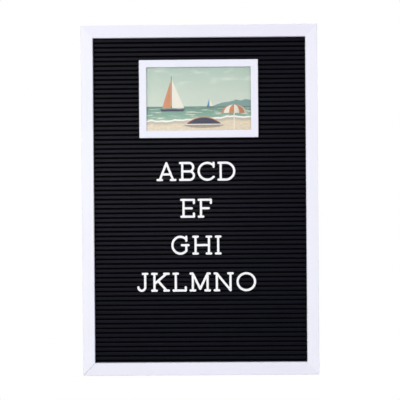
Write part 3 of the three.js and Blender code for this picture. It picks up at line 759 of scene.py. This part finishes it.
# %% [markdown]
# A stroke's half section runs from its flat back round a tight rear edge, up a side with a little draft so
# that the real moulding leaves its mould, and over a softer front edge. Carried up one side of the centre
# line, round the end, down the other side and round the start, it makes the whole round-ended bar as one
# grid. A centre line that closes on itself has no ends, so there the whole section is carried once round.

# %% Bars along centre lines
REAR_EDGE = 0.18 * MM
FRONT_EDGE = 0.4 * MM
SIDE_DRAFT = 0.06 * MM
EDGE_STEPS = 5
END_STEPS = 14


def half_section(back, front):
    """(r, y) from the back face to the front face: r is the distance from the centre line. Each edge is a
    quarter circle, r = side - e + e cos t with y = e - e sin t from its face."""
    t = np.linspace(0, math.pi / 2, EDGE_STEPS)
    half = STROKE / 2
    rear_r = half - REAR_EDGE * (1 - np.cos(t[::-1]))
    rear_y = back - REAR_EDGE * (1 - np.sin(t[::-1]))
    front_r = half - SIDE_DRAFT - FRONT_EDGE * (1 - np.cos(t))
    front_y = front + FRONT_EDGE * (1 - np.sin(t))
    return np.append(rear_r, front_r), np.append(rear_y, front_y)


def unit(vectors):
    """Vectors of length 1 in the same directions."""
    return vectors / np.linalg.norm(vectors, axis=-1, keepdims=True)


def right_of(along):
    """Normals to the right of unit directions."""
    return np.column_stack([along[:, 1], -along[:, 0]])


def ring_bar(path, back, front):
    """A bar round a closed centre line: point (j, k) is C(k) + r(j) N(k) at the depth y(j), for a whole
    section r, y and the normal N to the right of the line."""
    r, y = half_section(back, front)
    path = path[:-1]
    right = right_of(unit(np.roll(path, -1, axis=0) - np.roll(path, 1, axis=0)))
    flat = path + np.append(r, -r[::-1])[:, None, None] * right
    rings = at_depths(flat, np.append(y, y[::-1])[:, None])
    quads = grid_quads(*rings.shape[:2], wrap_rows=True, wrap_columns=True)
    return new_piece("stroke", rings, quads.tolist())


def round_ended_bar(path, back, front):
    """A bar along an open centre line: point (j, k) is C(k) + r(j) N(k) at the depth y(j). C runs up and
    down the line, and N is the outward normal, which turns half round at each end."""
    r, y = half_section(back, front)
    along = unit(np.gradient(path, axis=0))
    right = right_of(along)
    turn = np.linspace(0, math.pi, END_STEPS)[1:-1, None]
    end = np.cos(turn) * right[-1] + np.sin(turn) * along[-1]
    start = -np.cos(turn) * right[0] - np.sin(turn) * along[0]
    first = np.repeat(path[:1], len(start), axis=0)
    last = np.repeat(path[-1:], len(end), axis=0)
    centre = np.vstack([path, last, path[::-1], first])
    normal = np.vstack([right, end, -right[::-1], start])
    return lofted("stroke", at_depths(centre + r[:, None, None] * normal, y[:, None]))


def stroke_bar(path, back, front):
    """A bar along a centre line, open or closed."""
    closed = np.allclose(path[0], path[-1])
    return (ring_bar if closed else round_ended_bar)(path, back, front)


print("points in half a section:", len(half_section(0, -STROKE)[0]))

# %% [markdown]
# Flat pegs on a letter's back push into the grooves. Their places are read from the CAD node, because the
# grooves decide them and not the shape of the letter.

# %% Pegs
PEG_WIDTH = 2.2 * MM
PEG_THICKNESS = 1.3 * MM
PEG_TAPER = 0.35 * MM
PEG_CORNER = 0.25 * MM
CORNER_STEPS = 4
TIP_DEPTH = 0.01 * MM


def rounded_ring(half_x, half_z, corner):
    """A rectangle with round corners, (x, z): each corner is a quarter circle about its own centre."""
    quarter = np.linspace(0, math.pi / 2, CORNER_STEPS)
    t = (np.arange(4)[:, None] * math.pi / 2 + quarter).ravel()
    centre_x = np.repeat([1, -1, -1, 1], CORNER_STEPS) * (half_x - corner)
    centre_z = np.repeat([1, 1, -1, -1], CORNER_STEPS) * (half_z - corner)
    return np.column_stack([centre_x + corner * np.cos(t), centre_z + corner * np.sin(t)])


def peg(x, z, root, tip):
    """A flat peg from its tip to inside the letter: three rounded rings, the first one tapered."""
    shrink = (PEG_TAPER, 0.0, 0.0)
    half_x, half_z = PEG_WIDTH / 2, PEG_THICKNESS / 2
    rings = [rounded_ring(half_x - s / 2, half_z - s, PEG_CORNER - s / 2) for s in shrink]
    depths = np.array([tip, tip - PEG_TAPER, root])
    return lofted("peg", at_depths(np.stack(rings) + (x, z), depths[:, None]))


def peg_places(node):
    """Middles (x, z) of a letter's pegs. The CAD node's rearmost points are the four tip corners of each
    peg, so sorting them by groove and then by x puts each peg's four together."""
    points = node_points(node)
    tips = points[points[:, 1] > points[:, 1].max() - TIP_DEPTH][:, [0, 2]]
    tips = np.unique(np.round(tips, MICRONS), axis=0)
    groove = abs(tips[:, 1:] - groove_middles).argmin(axis=1)
    order = np.lexsort((tips[:, 0], groove))
    return tips[order].reshape(-1, 4, 2).mean(axis=1)


print("pegs on the letters:", {node[-1]: len(peg_places(node)) for node in LETTER_NODES})

# %% [markdown]
# The bars and pegs of a letter overlap, and a moulding is one solid, so a Boolean joins them. The result is
# kept as a plain mesh. Where two strokes cross, their rounded edges meet in a crease, as on the real
# letters.

# %% Joined strokes
COPLANAR_ANGLE = math.radians(0.05)


def joined(name, parts):
    """One solid from overlapping closed parts, which are used up."""
    first, *others = parts
    for other in others:
        union = first.modifiers.new("join", "BOOLEAN")
        union.operation = "UNION"
        union.solver = "MANIFOLD"
        union.object = other
    merge_flat(first, COPLANAR_ANGLE)
    solid = bpy.data.meshes.new_from_object(first.evaluated_get(bpy.context.evaluated_depsgraph_get()))
    solid.name = name
    # The Boolean leaves an empty slot, which would come before the finish.
    solid.materials.clear()
    for part in parts:
        bpy.data.meshes.remove(part.data)
    return add_object(name, solid)


print("faces are joined below a turn of", round(math.degrees(COPLANAR_ANGLE), 2), "degrees")

# %% [markdown]
# White moulded plastic is bright, slightly uneven in gloss, and lets a trace of light in under its surface.
# The letters and the photo frame have the same kind of plastic in two whites.

# %% The letters
LETTER_SEAT = 0.3 * MM
LETTER_WHITE = (0.935, 0.94, 0.945)


def moulded_white(name, white, grain_scale, roughness):
    """White moulded plastic: a trace of light goes in under the surface, and the mould's texture shows."""
    finish, tree, shader = new_finish(name)
    grain, mottle = skin(tree, object_place(tree), grain_scale, mottle_scale=30.0)
    inputs = {
        "Base Color": blend(tree, mottle.rise(-0.7, 0.7), white, dimmed(white, 0.98)),
        "Roughness": mottle * 0.04 + grain * 0.08 + roughness,
        "Normal": bumped(tree, grain, depth=0.012 * MM),
        "Subsurface Weight": 0.06,
        "Subsurface Radius": (1.0, 1.0, 1.0),
        "Subsurface Scale": 0.6 * MM,
    }
    fill(tree, shader, inputs)
    return finish


def push_letter(node, finish):
    """A letter at its CAD node's place, with the node's width, height and pegs."""
    name = node.removeprefix("letter_")
    low, high, middle = node_box(node)
    half, _, cap = (high - low - STROKE) / 2
    front = low[1]
    back = CREST_Y - LETTER_SEAT
    bars = [stroke_bar(path + middle[[0, 2]], back, front) for path in alphabet(half, cap)[name]]
    pegs = [peg(x, z, root=(back + front) / 2, tip=high[1]) for x, z in peg_places(node)]
    piece = joined(f"push_letter_{name}", [*bars, *pegs])
    stand_in(piece, node, finish)
    return piece


letter_white = moulded_white("moulded_letter_white", LETTER_WHITE, grain_scale=1800.0, roughness=0.34)
letters = [push_letter(node, letter_white) for node in LETTER_NODES]
print("letter faces:", [len(piece.data.polygons) for piece in letters])

# %% [markdown]
# The photo frame is a white border with a clear sheet in front of a card print. The border, the back plate
# and the sheet keep their CAD shapes. The sheet is acrylic: it lets lamp light through to the print, which
# a plain glass shader would block, so shadow rays see it as clear.

# %% Photo frame border, back plate and window
BORDER_WHITE = (0.84, 0.85, 0.945)
ACRYLIC_IOR = 1.49


def show_instead(tree, shader, mask, other):
    """Shows another shader in the first one's place where the mask is 1."""
    mixed = shader_node(tree, "MixShader", {0: mask, 1: shader.outputs["BSDF"], 2: other.outputs[0]})
    plug(tree, tree.nodes["Material Output"].inputs["Surface"], mixed.outputs["Shader"])


def clear_acrylic():
    """Clear polished sheet. Shadow and diffuse rays pass straight through it."""
    finish, tree, shader = new_finish("clear_acrylic")
    inputs = {
        "Base Color": (0.985, 0.99, 0.99),
        "Roughness": 0.03,
        "IOR": ACRYLIC_IOR,
        "Transmission Weight": 1.0,
    }
    fill(tree, shader, inputs)
    ray = shader_node(tree, "LightPath", {}).outputs
    passing = Field(tree, ray["Is Shadow Ray"]).most(Field(tree, ray["Is Diffuse Ray"]))
    show_instead(tree, shader, passing, shader_node(tree, "BsdfTransparent", {}))
    return finish


border_white = moulded_white("moulded_border_white", BORDER_WHITE, grain_scale=1200.0, roughness=0.40)
dress("photo_bezel", border_white, ease=0.15 * MM)
dress("photo_back", border_white, ease=0.10 * MM)
dress("photo_window", clear_acrylic(), ease=0.08 * MM)
print("photo frame: border, back plate and window dressed")

# %% [markdown]
# The picture in the frame is a generic seaside view made of formulas. Each motif is a mask over coordinates
# that run from -1 to 1 up the picture, and the motifs are painted over each other from the sky forwards.
# Noise stretched along the horizon makes the clouds, the swell and the ripples in the sand.

# %% Sky, sea and beach
HORIZON = -0.24
SHORE = -0.66
SHORE_SLOPE = 0.05
SHORE_WANDER = 0.22
SKY_LOW = (0.61, 0.69, 0.58)
SKY_HIGH = (0.47, 0.60, 0.50)
CLOUD = (0.78, 0.83, 0.73)
HEADLAND = (0.20, 0.33, 0.30)
SEA_FAR = (0.12, 0.23, 0.18)
SEA_MIDDLE = (0.18, 0.35, 0.26)
SEA_NEAR = (0.27, 0.44, 0.32)
FOAM = (0.73, 0.76, 0.62)
SAND_PALE = (0.83, 0.73, 0.55)
SAND_DARK = (0.72, 0.60, 0.42)
SAND_WET = (0.52, 0.47, 0.36)
WASH = (0.93, 0.92, 0.86)
SOFT = 0.02


def above(field, edge=SOFT):
    """1 where a field is above 0, with a soft edge."""
    return field.rise(0.0, edge)


def sky_and_sea(tree, x, z, place):
    """A pale sky with long clouds, a far headland, and a sea whose bands of foam open towards the shore."""
    cloud_noise = noise(tree, scaled(tree, place, (1.0, 1.0, 3.2)), scale=1.3, detail=5.0)
    clouds = cloud_noise.rise(0.50, 0.72) * z.rise(0.0, 0.45)
    colour = blend(tree, z.rise(HORIZON, 1.0), SKY_LOW, SKY_HIGH)
    colour = blend(tree, clouds * 0.55, colour, CLOUD)
    ridge = noise(tree, scaled(tree, place, (1.0, 0.0, 0.0)), scale=2.4, detail=4.0)
    height = x.rise(0.25, 1.2) * (ridge * 0.30 + 0.05)
    colour = blend(tree, above(height + HORIZON - z, 0.015), colour, HEADLAND)
    sea = blend(tree, z.rise(HORIZON, HORIZON - 0.2), SEA_FAR, SEA_MIDDLE)
    sea = blend(tree, z.rise(HORIZON - 0.2, SHORE), sea, SEA_NEAR)
    swell = noise(tree, scaled(tree, place, (1.0, 1.0, 9.0)), scale=2.2, detail=4.0)
    foam = swell.rise(0.53, 0.64) * z.rise(HORIZON, HORIZON - 0.12)
    sea = blend(tree, foam * 0.75, sea, FOAM)
    return blend(tree, z.rise(HORIZON + 0.008, HORIZON - 0.008), colour, sea)


def beach(tree, colour, x, z, place):
    """Sand with a wet edge and a line of foam along a shore that wanders with slow noise."""
    wander = noise(tree, scaled(tree, place, (1.0, 0.0, 0.0)), scale=1.6)
    above_shore = z - (wander * SHORE_WANDER + x * SHORE_SLOPE + (SHORE - SHORE_WANDER / 2))
    ripple = noise(tree, scaled(tree, place, (1.0, 1.0, 4.0)), scale=9.0, detail=4.0)
    dry = blend(tree, ripple.rise(0.35, 0.65), SAND_PALE, SAND_DARK)
    sand = blend(tree, above_shore.rise(-0.14, -0.03), dry, SAND_WET)
    colour = blend(tree, above_shore.rise(0.01, -0.01), colour, sand)
    return blend(tree, above(-abs(above_shore - 0.02) + 0.035), colour, WASH)


print("horizon and shore at", HORIZON, "and", SHORE, "of half the picture")

# %% [markdown]
# A motif has coordinates of its own, across and up from its foot in units of its size, so the same boat can
# sail near and far. A shape is a product of soft-edged masks: a sail lies right of the mast, under a
# slanting line and above the deck.

# %% Boats and parasol
NAVY = (0.022, 0.024, 0.050)
TAN = (0.61, 0.24, 0.10)
CREAM = (0.85, 0.82, 0.70)
BLUE = (0.03, 0.27, 0.50)
MAST_BROWN = (0.10, 0.06, 0.04)
POLE_WHITE = (0.86, 0.82, 0.74)
CLOTH_SHADE = (0.22, 0.09, 0.05)
HULL_SHADOW = (0.16, 0.13, 0.10)
HULL_SEAM = (0.10, 0.11, 0.16)
# A sailing boat, in units of its size.
DECK = 0.13
HULL_HALF = 0.52
HULL_RAKE = 0.9
MAST_HALF = 0.015
MAST_SPAN = (0.1, 1.7)
SAIL_SPAN = (0.16, 1.62)
SAIL_GAP = (0.02, 0.035)
SAIL_HEIGHT = 1.45
SAIL_PEAK = 1.115
MAIN_WIDTH = 0.62
JIB_WIDTH = 0.46
# A parasol, in units of its half width.
POLE_HALF = 0.045
POLE_FOOT = -1.5
DOME_FLATNESS = 2.2
STRIPE_TURN = 7.8
# A beached boat, in units of its half length.
KEEL_HEIGHT = 0.42
KEEL_HALF = 0.028
PLANK_TURN = 44.0
STRIP_SPAN = (0.02, 0.08)
SHADOW_FLATNESS = 60.0


def motif(x, z, left, low, size):
    """Coordinates across and up a motif from its foot, in units of its size."""
    return (x - left) * (1 / size), (z - low) * (1 / size)


def between(field, low, high, edge=SOFT):
    """1 where a field lies from low to high, with soft edges."""
    return field.rise(low, low + edge) * field.rise(high, high - edge)


def sail_boat(tree, colour, across, up, sails):
    """Paints a boat over a colour: two triangular sails on a mast, and a hull whose ends rake inwards."""
    over_deck = between(up, *SAIL_SPAN)
    reach = -(up * (1 / SAIL_HEIGHT)) + SAIL_PEAK
    main = across.rise(*SAIL_GAP) * above(reach * MAIN_WIDTH - across) * over_deck
    jib = (-across).rise(*SAIL_GAP) * above(reach * JIB_WIDTH + across) * over_deck
    hull = between(up, 0.0, DECK) * above(up * HULL_RAKE - abs(across - 0.05) + HULL_HALF)
    mast = above(-abs(across) + MAST_HALF, 0.006) * between(up, *MAST_SPAN)
    for mask, tint in [(mast, MAST_BROWN), (main, sails[0]), (jib, sails[1]), (hull, NAVY)]:
        colour = blend(tree, mask, colour, tint)
    return colour


def parasol(tree, colour, across, up):
    """Paints a beach parasol: a half ellipse in segments between meridians, on a pole."""
    pole = above(-abs(across) + POLE_HALF) * up.rise(POLE_FOOT, POLE_FOOT + SOFT) * up.rise(0.3, 0.2)
    colour = blend(tree, pole, colour, POLE_WHITE)
    lift = up * up * DOME_FLATNESS
    dome = (across * across + lift).rise(1.0, 0.97) * above(up)
    width = (-lift + 1.0).most(0.02).math("SQRT")
    stripes = (across.math("DIVIDE", width) * STRIPE_TURN).sine().rise(-0.12, 0.12)
    cloth = blend(tree, stripes, TAN, CREAM)
    shaded = blend(tree, across.rise(-0.2, 1.0) * 0.5, cloth, CLOTH_SHADE)
    return blend(tree, dome, colour, shaded)


def beached_boat(tree, colour, across, up):
    """Paints an upturned rowing boat: a flat half ellipse in navy, with a tan keel and a cream strip."""
    shadow = (across * across + up * up * SHADOW_FLATNESS).rise(1.25, 0.7)
    colour = blend(tree, shadow * 0.7, colour, HULL_SHADOW)
    crown = -(across * across) + 1.0
    under_keel = crown * KEEL_HEIGHT - up
    hull = above(under_keel) * above(up)
    planks = under_keel.math("DIVIDE", crown.most(0.05)) * PLANK_TURN
    seams = planks.sine().rise(0.75, 0.95) * 0.35
    colour = blend(tree, hull, colour, blend(tree, seams, NAVY, HULL_SEAM))
    colour = blend(tree, between(up, *STRIP_SPAN, edge=0.01) * hull, colour, CREAM)
    keel = above(-abs(under_keel) + KEEL_HALF, 0.012) * up.rise(0.12, 0.16)
    return blend(tree, keel, colour, TAN)


print("soft edges:", SOFT, "of a motif's size")

# %% [markdown]
# The print is a card that bows very slightly between the window and the back plate. A sheet curved in one
# direction gives the bow, and Solidify gives the card its thickness. Its finish is the painted view under a
# light gloss, with the tooth of the paper.

# %% The print
PICTURE_HALF_HEIGHT = 40.2 * MM
PRINT_BOW = 0.12 * MM
PRINT_COLUMNS = 41
PRINT_ROWS = 9


def seaside_print():
    """The card's finish: the painted view under a light gloss, with the paper's own fine tooth."""
    finish, tree, shader = new_finish("seaside_print")
    own = object_place(tree)
    _, _, middle = node_box("photo_window")
    place = scaled(tree, own, (1 / PICTURE_HALF_HEIGHT,) * 3, tuple(middle))
    x, _, z = axes(tree, place)
    far = motif(x, z, left=0.34, low=HORIZON - 0.03, size=0.18)
    near = motif(x, z, left=-0.86, low=HORIZON - 0.16, size=0.66)
    colour = sky_and_sea(tree, x, z, place)
    colour = sail_boat(tree, colour, *far, sails=(CREAM, BLUE))
    colour = sail_boat(tree, colour, *near, sails=(CREAM, TAN))
    colour = beach(tree, colour, x, z, place)
    colour = parasol(tree, colour, *motif(x, z, left=1.12, low=-0.46, size=0.40))
    colour = beached_boat(tree, colour, *motif(x, z, left=0.16, low=-0.84, size=0.62))
    tooth, mottle = skin(tree, own, grain_scale=4000.0, mottle_scale=60.0)
    inputs = {
        "Base Color": colour,
        "Roughness": tooth * 0.08 + mottle * 0.03 + 0.28,
        "Normal": bumped(tree, tooth, depth=0.004 * MM),
    }
    fill(tree, shader, inputs)
    return finish


def card_print(name):
    """A sheet on a grid, y = front + bow / 2 - bow (1 - s * s) for s from -1 to 1 across it."""
    low, high, middle = node_box("photo_print")
    s, t = np.meshgrid(np.linspace(-1, 1, PRINT_COLUMNS), np.linspace(0, 1, PRINT_ROWS))
    x = middle[0] + s * (high[0] - low[0]) / 2
    z = low[2] + t * (high[2] - low[2])
    y = low[1] - PRINT_BOW * (1 - s * s) + PRINT_BOW / 2
    quads = grid_quads(PRINT_ROWS, PRINT_COLUMNS).tolist()
    piece = new_piece(name, np.stack([x, y, z], axis=-1), quads)
    card = piece.modifiers.new("card", "SOLIDIFY")
    card.thickness = high[1] - low[1]
    card.offset = -1.0
    return piece


print_card = card_print("print_card")
stand_in(print_card, "photo_print", seaside_print())
print("picture:", *in_mm([2 * PICTURE_HALF_HEIGHT]), "mm high")
print("card faces:", len(print_card.data.polygons))

# %% [markdown]
# Behind the panel is a sheet of hardboard with its rough side out. That side keeps the print of the wire
# mesh it was pressed on, so two sine waves a mesh apart make the dimples, and fibres lie over them at
# random.

# %% Backing board
MESH_PITCH = 1.4 * MM
HARDBOARD_DARK = (0.13, 0.070, 0.032)
HARDBOARD_PALE = (0.33, 0.20, 0.10)


def rough_hardboard():
    """Brown pressed fibre: height is the product of two sine waves, with fibre noise over it."""
    finish, tree, shader = new_finish("rough_hardboard")
    place = object_place(tree)
    x, _, z = axes(tree, place)
    turn = 2 * math.pi / MESH_PITCH
    dimple = (x * turn).sine() * (z * turn).sine()
    laid = scaled(tree, place, (1.0, 1.0, 0.6))
    fibre, mottle = skin(tree, laid, grain_scale=700.0, mottle_scale=30.0)
    tone = fibre * 0.8 + dimple * 0.12 + mottle * 0.06 + 0.1
    inputs = {
        "Base Color": blend(tree, tone.rise(0.2, 0.8), HARDBOARD_DARK, HARDBOARD_PALE),
        "Roughness": mottle * 0.05 + 0.82,
        "Normal": bumped(tree, dimple * 0.25 + fibre * 0.5, depth=0.12 * MM),
    }
    fill(tree, shader, inputs)
    return finish


dress("backing_board", rough_hardboard(), ease=0.2 * MM)
print("hardboard dimples:", MESH_PITCH / MM, "mm apart")

# %% [markdown]
# The fittings are zinc-plated steel: a saw-tooth hanger with two nails, a V-nail across each mitre and flat
# retainer points. Zinc dries in pale patches, and stamping leaves fine scratches, so both vary the gloss.

# %% Steel fittings
ZINC_DARK = (0.27, 0.28, 0.30)
ZINC_PALE = (0.52, 0.53, 0.55)
PATCH_SCALE = 420.0
SCRATCH_DRAW = 0.08
STAMPED_EASE = 0.08 * MM


def zinc_plate():
    """Plated steel: patches from cell noise, and scratches drawn out across the board."""
    finish, tree, shader = new_finish("zinc_plate")
    place = object_place(tree)
    cells = shader_node(tree, "TexVoronoi", {"Vector": place, "Scale": PATCH_SCALE}).outputs["Color"]
    patch, _, _ = axes(tree, cells)
    drawn_out = scaled(tree, place, (SCRATCH_DRAW, 1.0, 1.0))
    scratch, mottle = skin(tree, drawn_out, grain_scale=5200.0, mottle_scale=90.0)
    tone = patch * 0.5 + mottle * 0.3 + 0.3
    inputs = {
        "Base Color": blend(tree, tone.rise(0.0, 1.0), ZINC_DARK, ZINC_PALE),
        "Roughness": patch * 0.12 + scratch * 0.14 + 0.24,
        "Normal": bumped(tree, scratch, depth=0.006 * MM),
        "Metallic": 1.0,
    }
    fill(tree, shader, inputs)
    return finish


zinc = zinc_plate()
stamped = [node for node in STEEL_NODES if not node.startswith("hanger_nail")]
for node in stamped:
    dress(node, zinc, STAMPED_EASE)
print("stamped steel pieces:", len(stamped))

# %% [markdown]
# A nail is a turned shape: its outline, spun about its own axis. The head is slightly domed, and the shank
# has the two grip rings that a wire nail gets from its clamp.

# %% Hanger nails
NAIL_SIDES = 32
NAIL_SHANK = 0.7 * MM
NAIL_HEAD = 1.7 * MM
NAIL_POINT = 2.0 * MM
NAIL_TIP = 0.02 * MM
HEAD_EDGE = 0.25 * MM
HEAD_DEPTH = 0.7 * MM
HEAD_DOME = 0.12 * MM
GRIP_DEPTH = 0.05 * MM
GRIP_PITCH = 0.25 * MM


def full_turn(sides):
    """Angles of the corners of a regular polygon, once round."""
    return np.arange(sides) * 2 * math.pi / sides


def turned_nail(name, node):
    """Points (r cos t, y, r sin t) about the nail's axis, for an outline of radius r against depth y. The
    dome falls with the square of the radius."""
    low, high, middle = node_box(node)
    tip, top = low[1], high[1]
    under_head = top - HEAD_DEPTH
    outline = np.array(
        [
            (NAIL_TIP, tip),
            (NAIL_SHANK, tip + NAIL_POINT),
            (NAIL_SHANK, under_head - 5 * GRIP_PITCH),
            (NAIL_SHANK - GRIP_DEPTH, under_head - 4 * GRIP_PITCH),
            (NAIL_SHANK, under_head - 3 * GRIP_PITCH),
            (NAIL_SHANK - GRIP_DEPTH, under_head - 2 * GRIP_PITCH),
            (NAIL_SHANK, under_head),
            (NAIL_HEAD - HEAD_EDGE, under_head),
            (NAIL_HEAD, under_head + HEAD_EDGE),
            (NAIL_HEAD, top - HEAD_DOME - HEAD_EDGE / 2),
            (NAIL_HEAD - HEAD_EDGE / 2, top - HEAD_DOME),
            (NAIL_HEAD * 0.6, top - HEAD_DOME * 0.6**2),
            (NAIL_HEAD * 0.3, top - HEAD_DOME * 0.3**2),
            (NAIL_TIP, top),
        ]
    )
    r, y = outline[:, :1], outline[:, 1:]
    t = -full_turn(NAIL_SIDES)
    flat = np.stack([middle[0] + r * np.cos(t), middle[2] + r * np.sin(t)], axis=-1)
    return lofted(name, at_depths(flat, y))


for side in ("left", "right"):
    nail = turned_nail(f"turned_nail_{side}", f"hanger_nail_{side}")
    stand_in(nail, f"hanger_nail_{side}", zinc)
print("nails turned: 2, with", NAIL_SIDES, "sides each")

# %% [markdown]
# The studio is plain. A pale round floor lies well below the board, which hangs, and its rim fades into the
# white surroundings. The floor glows a little where it is seen as background, so it is nearly white without
# more light on the board, and it still darkens under the board's shadow.

# %% Floor
FLOOR_DROP = 0.40
FLOOR_RADIUS = 1.5
FLOOR_RINGS = 24
FLOOR_SIDES = 96
FLOOR_GREY = (0.55, 0.55, 0.56)
FLOOR_GLOW = 0.37
FLOOR_RIM = (0.45 * FLOOR_RADIUS, 0.98 * FLOOR_RADIUS)
WHITE = (1.0, 1.0, 1.0)


def studio_floor():
    """Points (r cos t, r sin t) of a disc, with rings from the middle out."""
    r = np.linspace(MM, FLOOR_RADIUS, FLOOR_RINGS)[:, None]
    t = full_turn(FLOOR_SIDES)
    x = r * np.cos(t)
    y = r * np.sin(t)
    points = np.stack([x, y, np.full_like(x, board_low[2] - FLOOR_DROP)], axis=-1)
    quads = grid_quads(FLOOR_RINGS, FLOOR_SIDES, wrap_columns=True)[:, ::-1].tolist()
    return new_piece("studio_floor", points, [*quads, np.arange(FLOOR_SIDES).tolist()])


def seen_as_background(tree, y):
    """1 for camera rays, and for rays from shiny and clear surfaces where they lead behind the board."""
    ray = shader_node(tree, "LightPath", {}).outputs
    mirrored = Field(tree, ray["Is Glossy Ray"]).most(Field(tree, ray["Is Transmission Ray"]))
    return Field(tree, ray["Is Camera Ray"]).most(mirrored * y.rise(0.0, 0.1))


def floor_paint():
    """Pale paint that turns to plain white light at the rim."""
    finish, tree, shader = new_finish("floor_paint")
    x, y, _ = axes(tree, object_place(tree))
    inputs = {
        "Base Color": FLOOR_GREY,
        "Roughness": 0.9,
        "Specular IOR Level": 0.1,
        "Emission Color": WHITE,
        "Emission Strength": seen_as_background(tree, y) * FLOOR_GLOW,
    }
    fill(tree, shader, inputs)
    rim = (x * x + y * y).math("SQRT").rise(*FLOOR_RIM)
    show_instead(tree, shader, rim, shader_node(tree, "Emission", {"Strength": 1.0}))
    return finish


floor = studio_floor()
floor.data.materials.append(floor_paint())
print("floor:", FLOOR_DROP, "m below the board")

# %% [markdown]
# The surroundings are white to the camera, and behind the board to shiny and clear surfaces too. For the
# light that they give, they are dim straight in front of the board, as a room is behind any photographer,
# which keeps the black panel black. The ceiling is brighter than the walls.

# %% World
ROOM_FRONT = 0.04
ROOM_SIDES = 0.45
ROOM_CEILING = 0.9
FRONT_TO_SIDES = (-0.95, -0.45)
WALL_TO_CEILING = (0.15, 0.65)


def studio_world():
    """White where the camera looks. Elsewhere it brightens from the front to the sides and the ceiling."""
    world = bpy.data.worlds.new("studio")
    world.use_nodes = True
    tree = world.node_tree
    _, y, z = axes(tree, shader_node(tree, "TexCoord", {}).outputs["Generated"])
    level = y.rise(*FRONT_TO_SIDES) * (ROOM_SIDES - ROOM_FRONT) + ROOM_FRONT
    ceiling = z.rise(*WALL_TO_CEILING) * ROOM_CEILING
    strength = level.most(ceiling).most(seen_as_background(tree, y))
    fill(tree, tree.nodes["Background"], {"Color": WHITE, "Strength": strength})
    return world


bpy.context.scene.world = studio_world()
print("room light from the front, sides and ceiling:", ROOM_FRONT, ROOM_SIDES, ROOM_CEILING)

# %% [markdown]
# A soft lamp stands in front on the left, above the board's middle, as in the photograph, where the left
# rail is the brightest and the lower right corner the dullest. A weaker and cooler one fills in from the
# right. A small one beside the camera gives the satin ribs the dim glow that they show to the left of the
# middle. The last lights the back, for views from behind.

# %% Lamps
BOARD_MIDDLE = np.array([0.0, 0.0, BOARD_MIDDLE_Z])
WARM = (1.0, 1.0, 0.93)
COOL = (0.89, 0.88, 1.0)
# Name, place from the middle of the board, size of a side, power in watts, and colour.
LAMPS = [
    ("key_lamp", (-0.95, -1.65, 0.50), 0.9, 13.7, WARM),
    ("fill_lamp", (1.1, -1.7, 0.6), 1.2, 10.8, COOL),
    ("front_lamp", (-0.12, -1.5, 0.06), 0.18, 2.0, COOL),
    ("back_lamp", (0.4, 1.6, 0.9), 1.2, 8.0, WARM),
]


def aimed(place, target):
    """A matrix that puts a lamp at a place, with its -Z axis towards a target and its X axis level."""
    back = unit(np.array(place) - np.array(target))
    across = unit(np.cross((0.0, 0.0, 1.0), back))
    up = np.cross(back, across)
    turned = np.column_stack([across, up, back, place])
    return Matrix(np.vstack([turned, (0.0, 0.0, 0.0, 1.0)]).tolist())


def soft_lamp(name, offset, size, power, colour):
    """A square lamp, at an offset from the middle of the board and turned towards it."""
    lamp = bpy.data.lights.new(name, "AREA")
    lamp.size = size
    lamp.energy = power
    lamp.color = colour
    add_object(name, lamp).matrix_world = aimed(BOARD_MIDDLE + offset, BOARD_MIDDLE)


for lamp in LAMPS:
    soft_lamp(*lamp)
print("lamps:", {name: power for name, _, _, power, _ in LAMPS})

# %% [markdown]
# The camera stands in front of the board, at a distance that is usual for such a picture: the inner faces
# of the rails hardly show in the photograph. Its place, slight turn and focal length were fitted to the
# outer and inner edges of the frame there, in a picture 400 pixels wide.

# %% Camera
FRAME_PIXELS = 400
FOCAL_PIXELS = 1245.6
CAMERA_OFFSET = (19.4 * MM, -1600 * MM, 6.8 * MM)
CAMERA_YAW = math.radians(0.701)
CAMERA_PITCH = math.radians(-0.246)
CAMERA_ROLL = math.radians(0.429)


def photograph_camera():
    """A camera that looks along +Y, rolled about Y, then pitched about X, then turned about Z."""
    lens = bpy.data.cameras.new("camera")
    lens.sensor_width = 36.0
    lens.lens = lens.sensor_width * FOCAL_PIXELS / FRAME_PIXELS
    level = Matrix.Rotation(math.pi / 2, 4, "X")
    turn = Matrix.Rotation(CAMERA_YAW, 4, "Z") @ Matrix.Rotation(CAMERA_PITCH, 4, "X")
    place = Matrix.Translation((BOARD_MIDDLE + CAMERA_OFFSET).tolist())
    camera = add_object("camera", lens)
    camera.matrix_world = place @ turn @ Matrix.Rotation(CAMERA_ROLL, 4, "Y") @ level
    return camera


bpy.context.scene.camera = photograph_camera()
bpy.context.scene.view_settings.view_transform = "Standard"
print("lens:", round(bpy.context.scene.camera.data.lens, 1), "mm")

# %% [markdown]
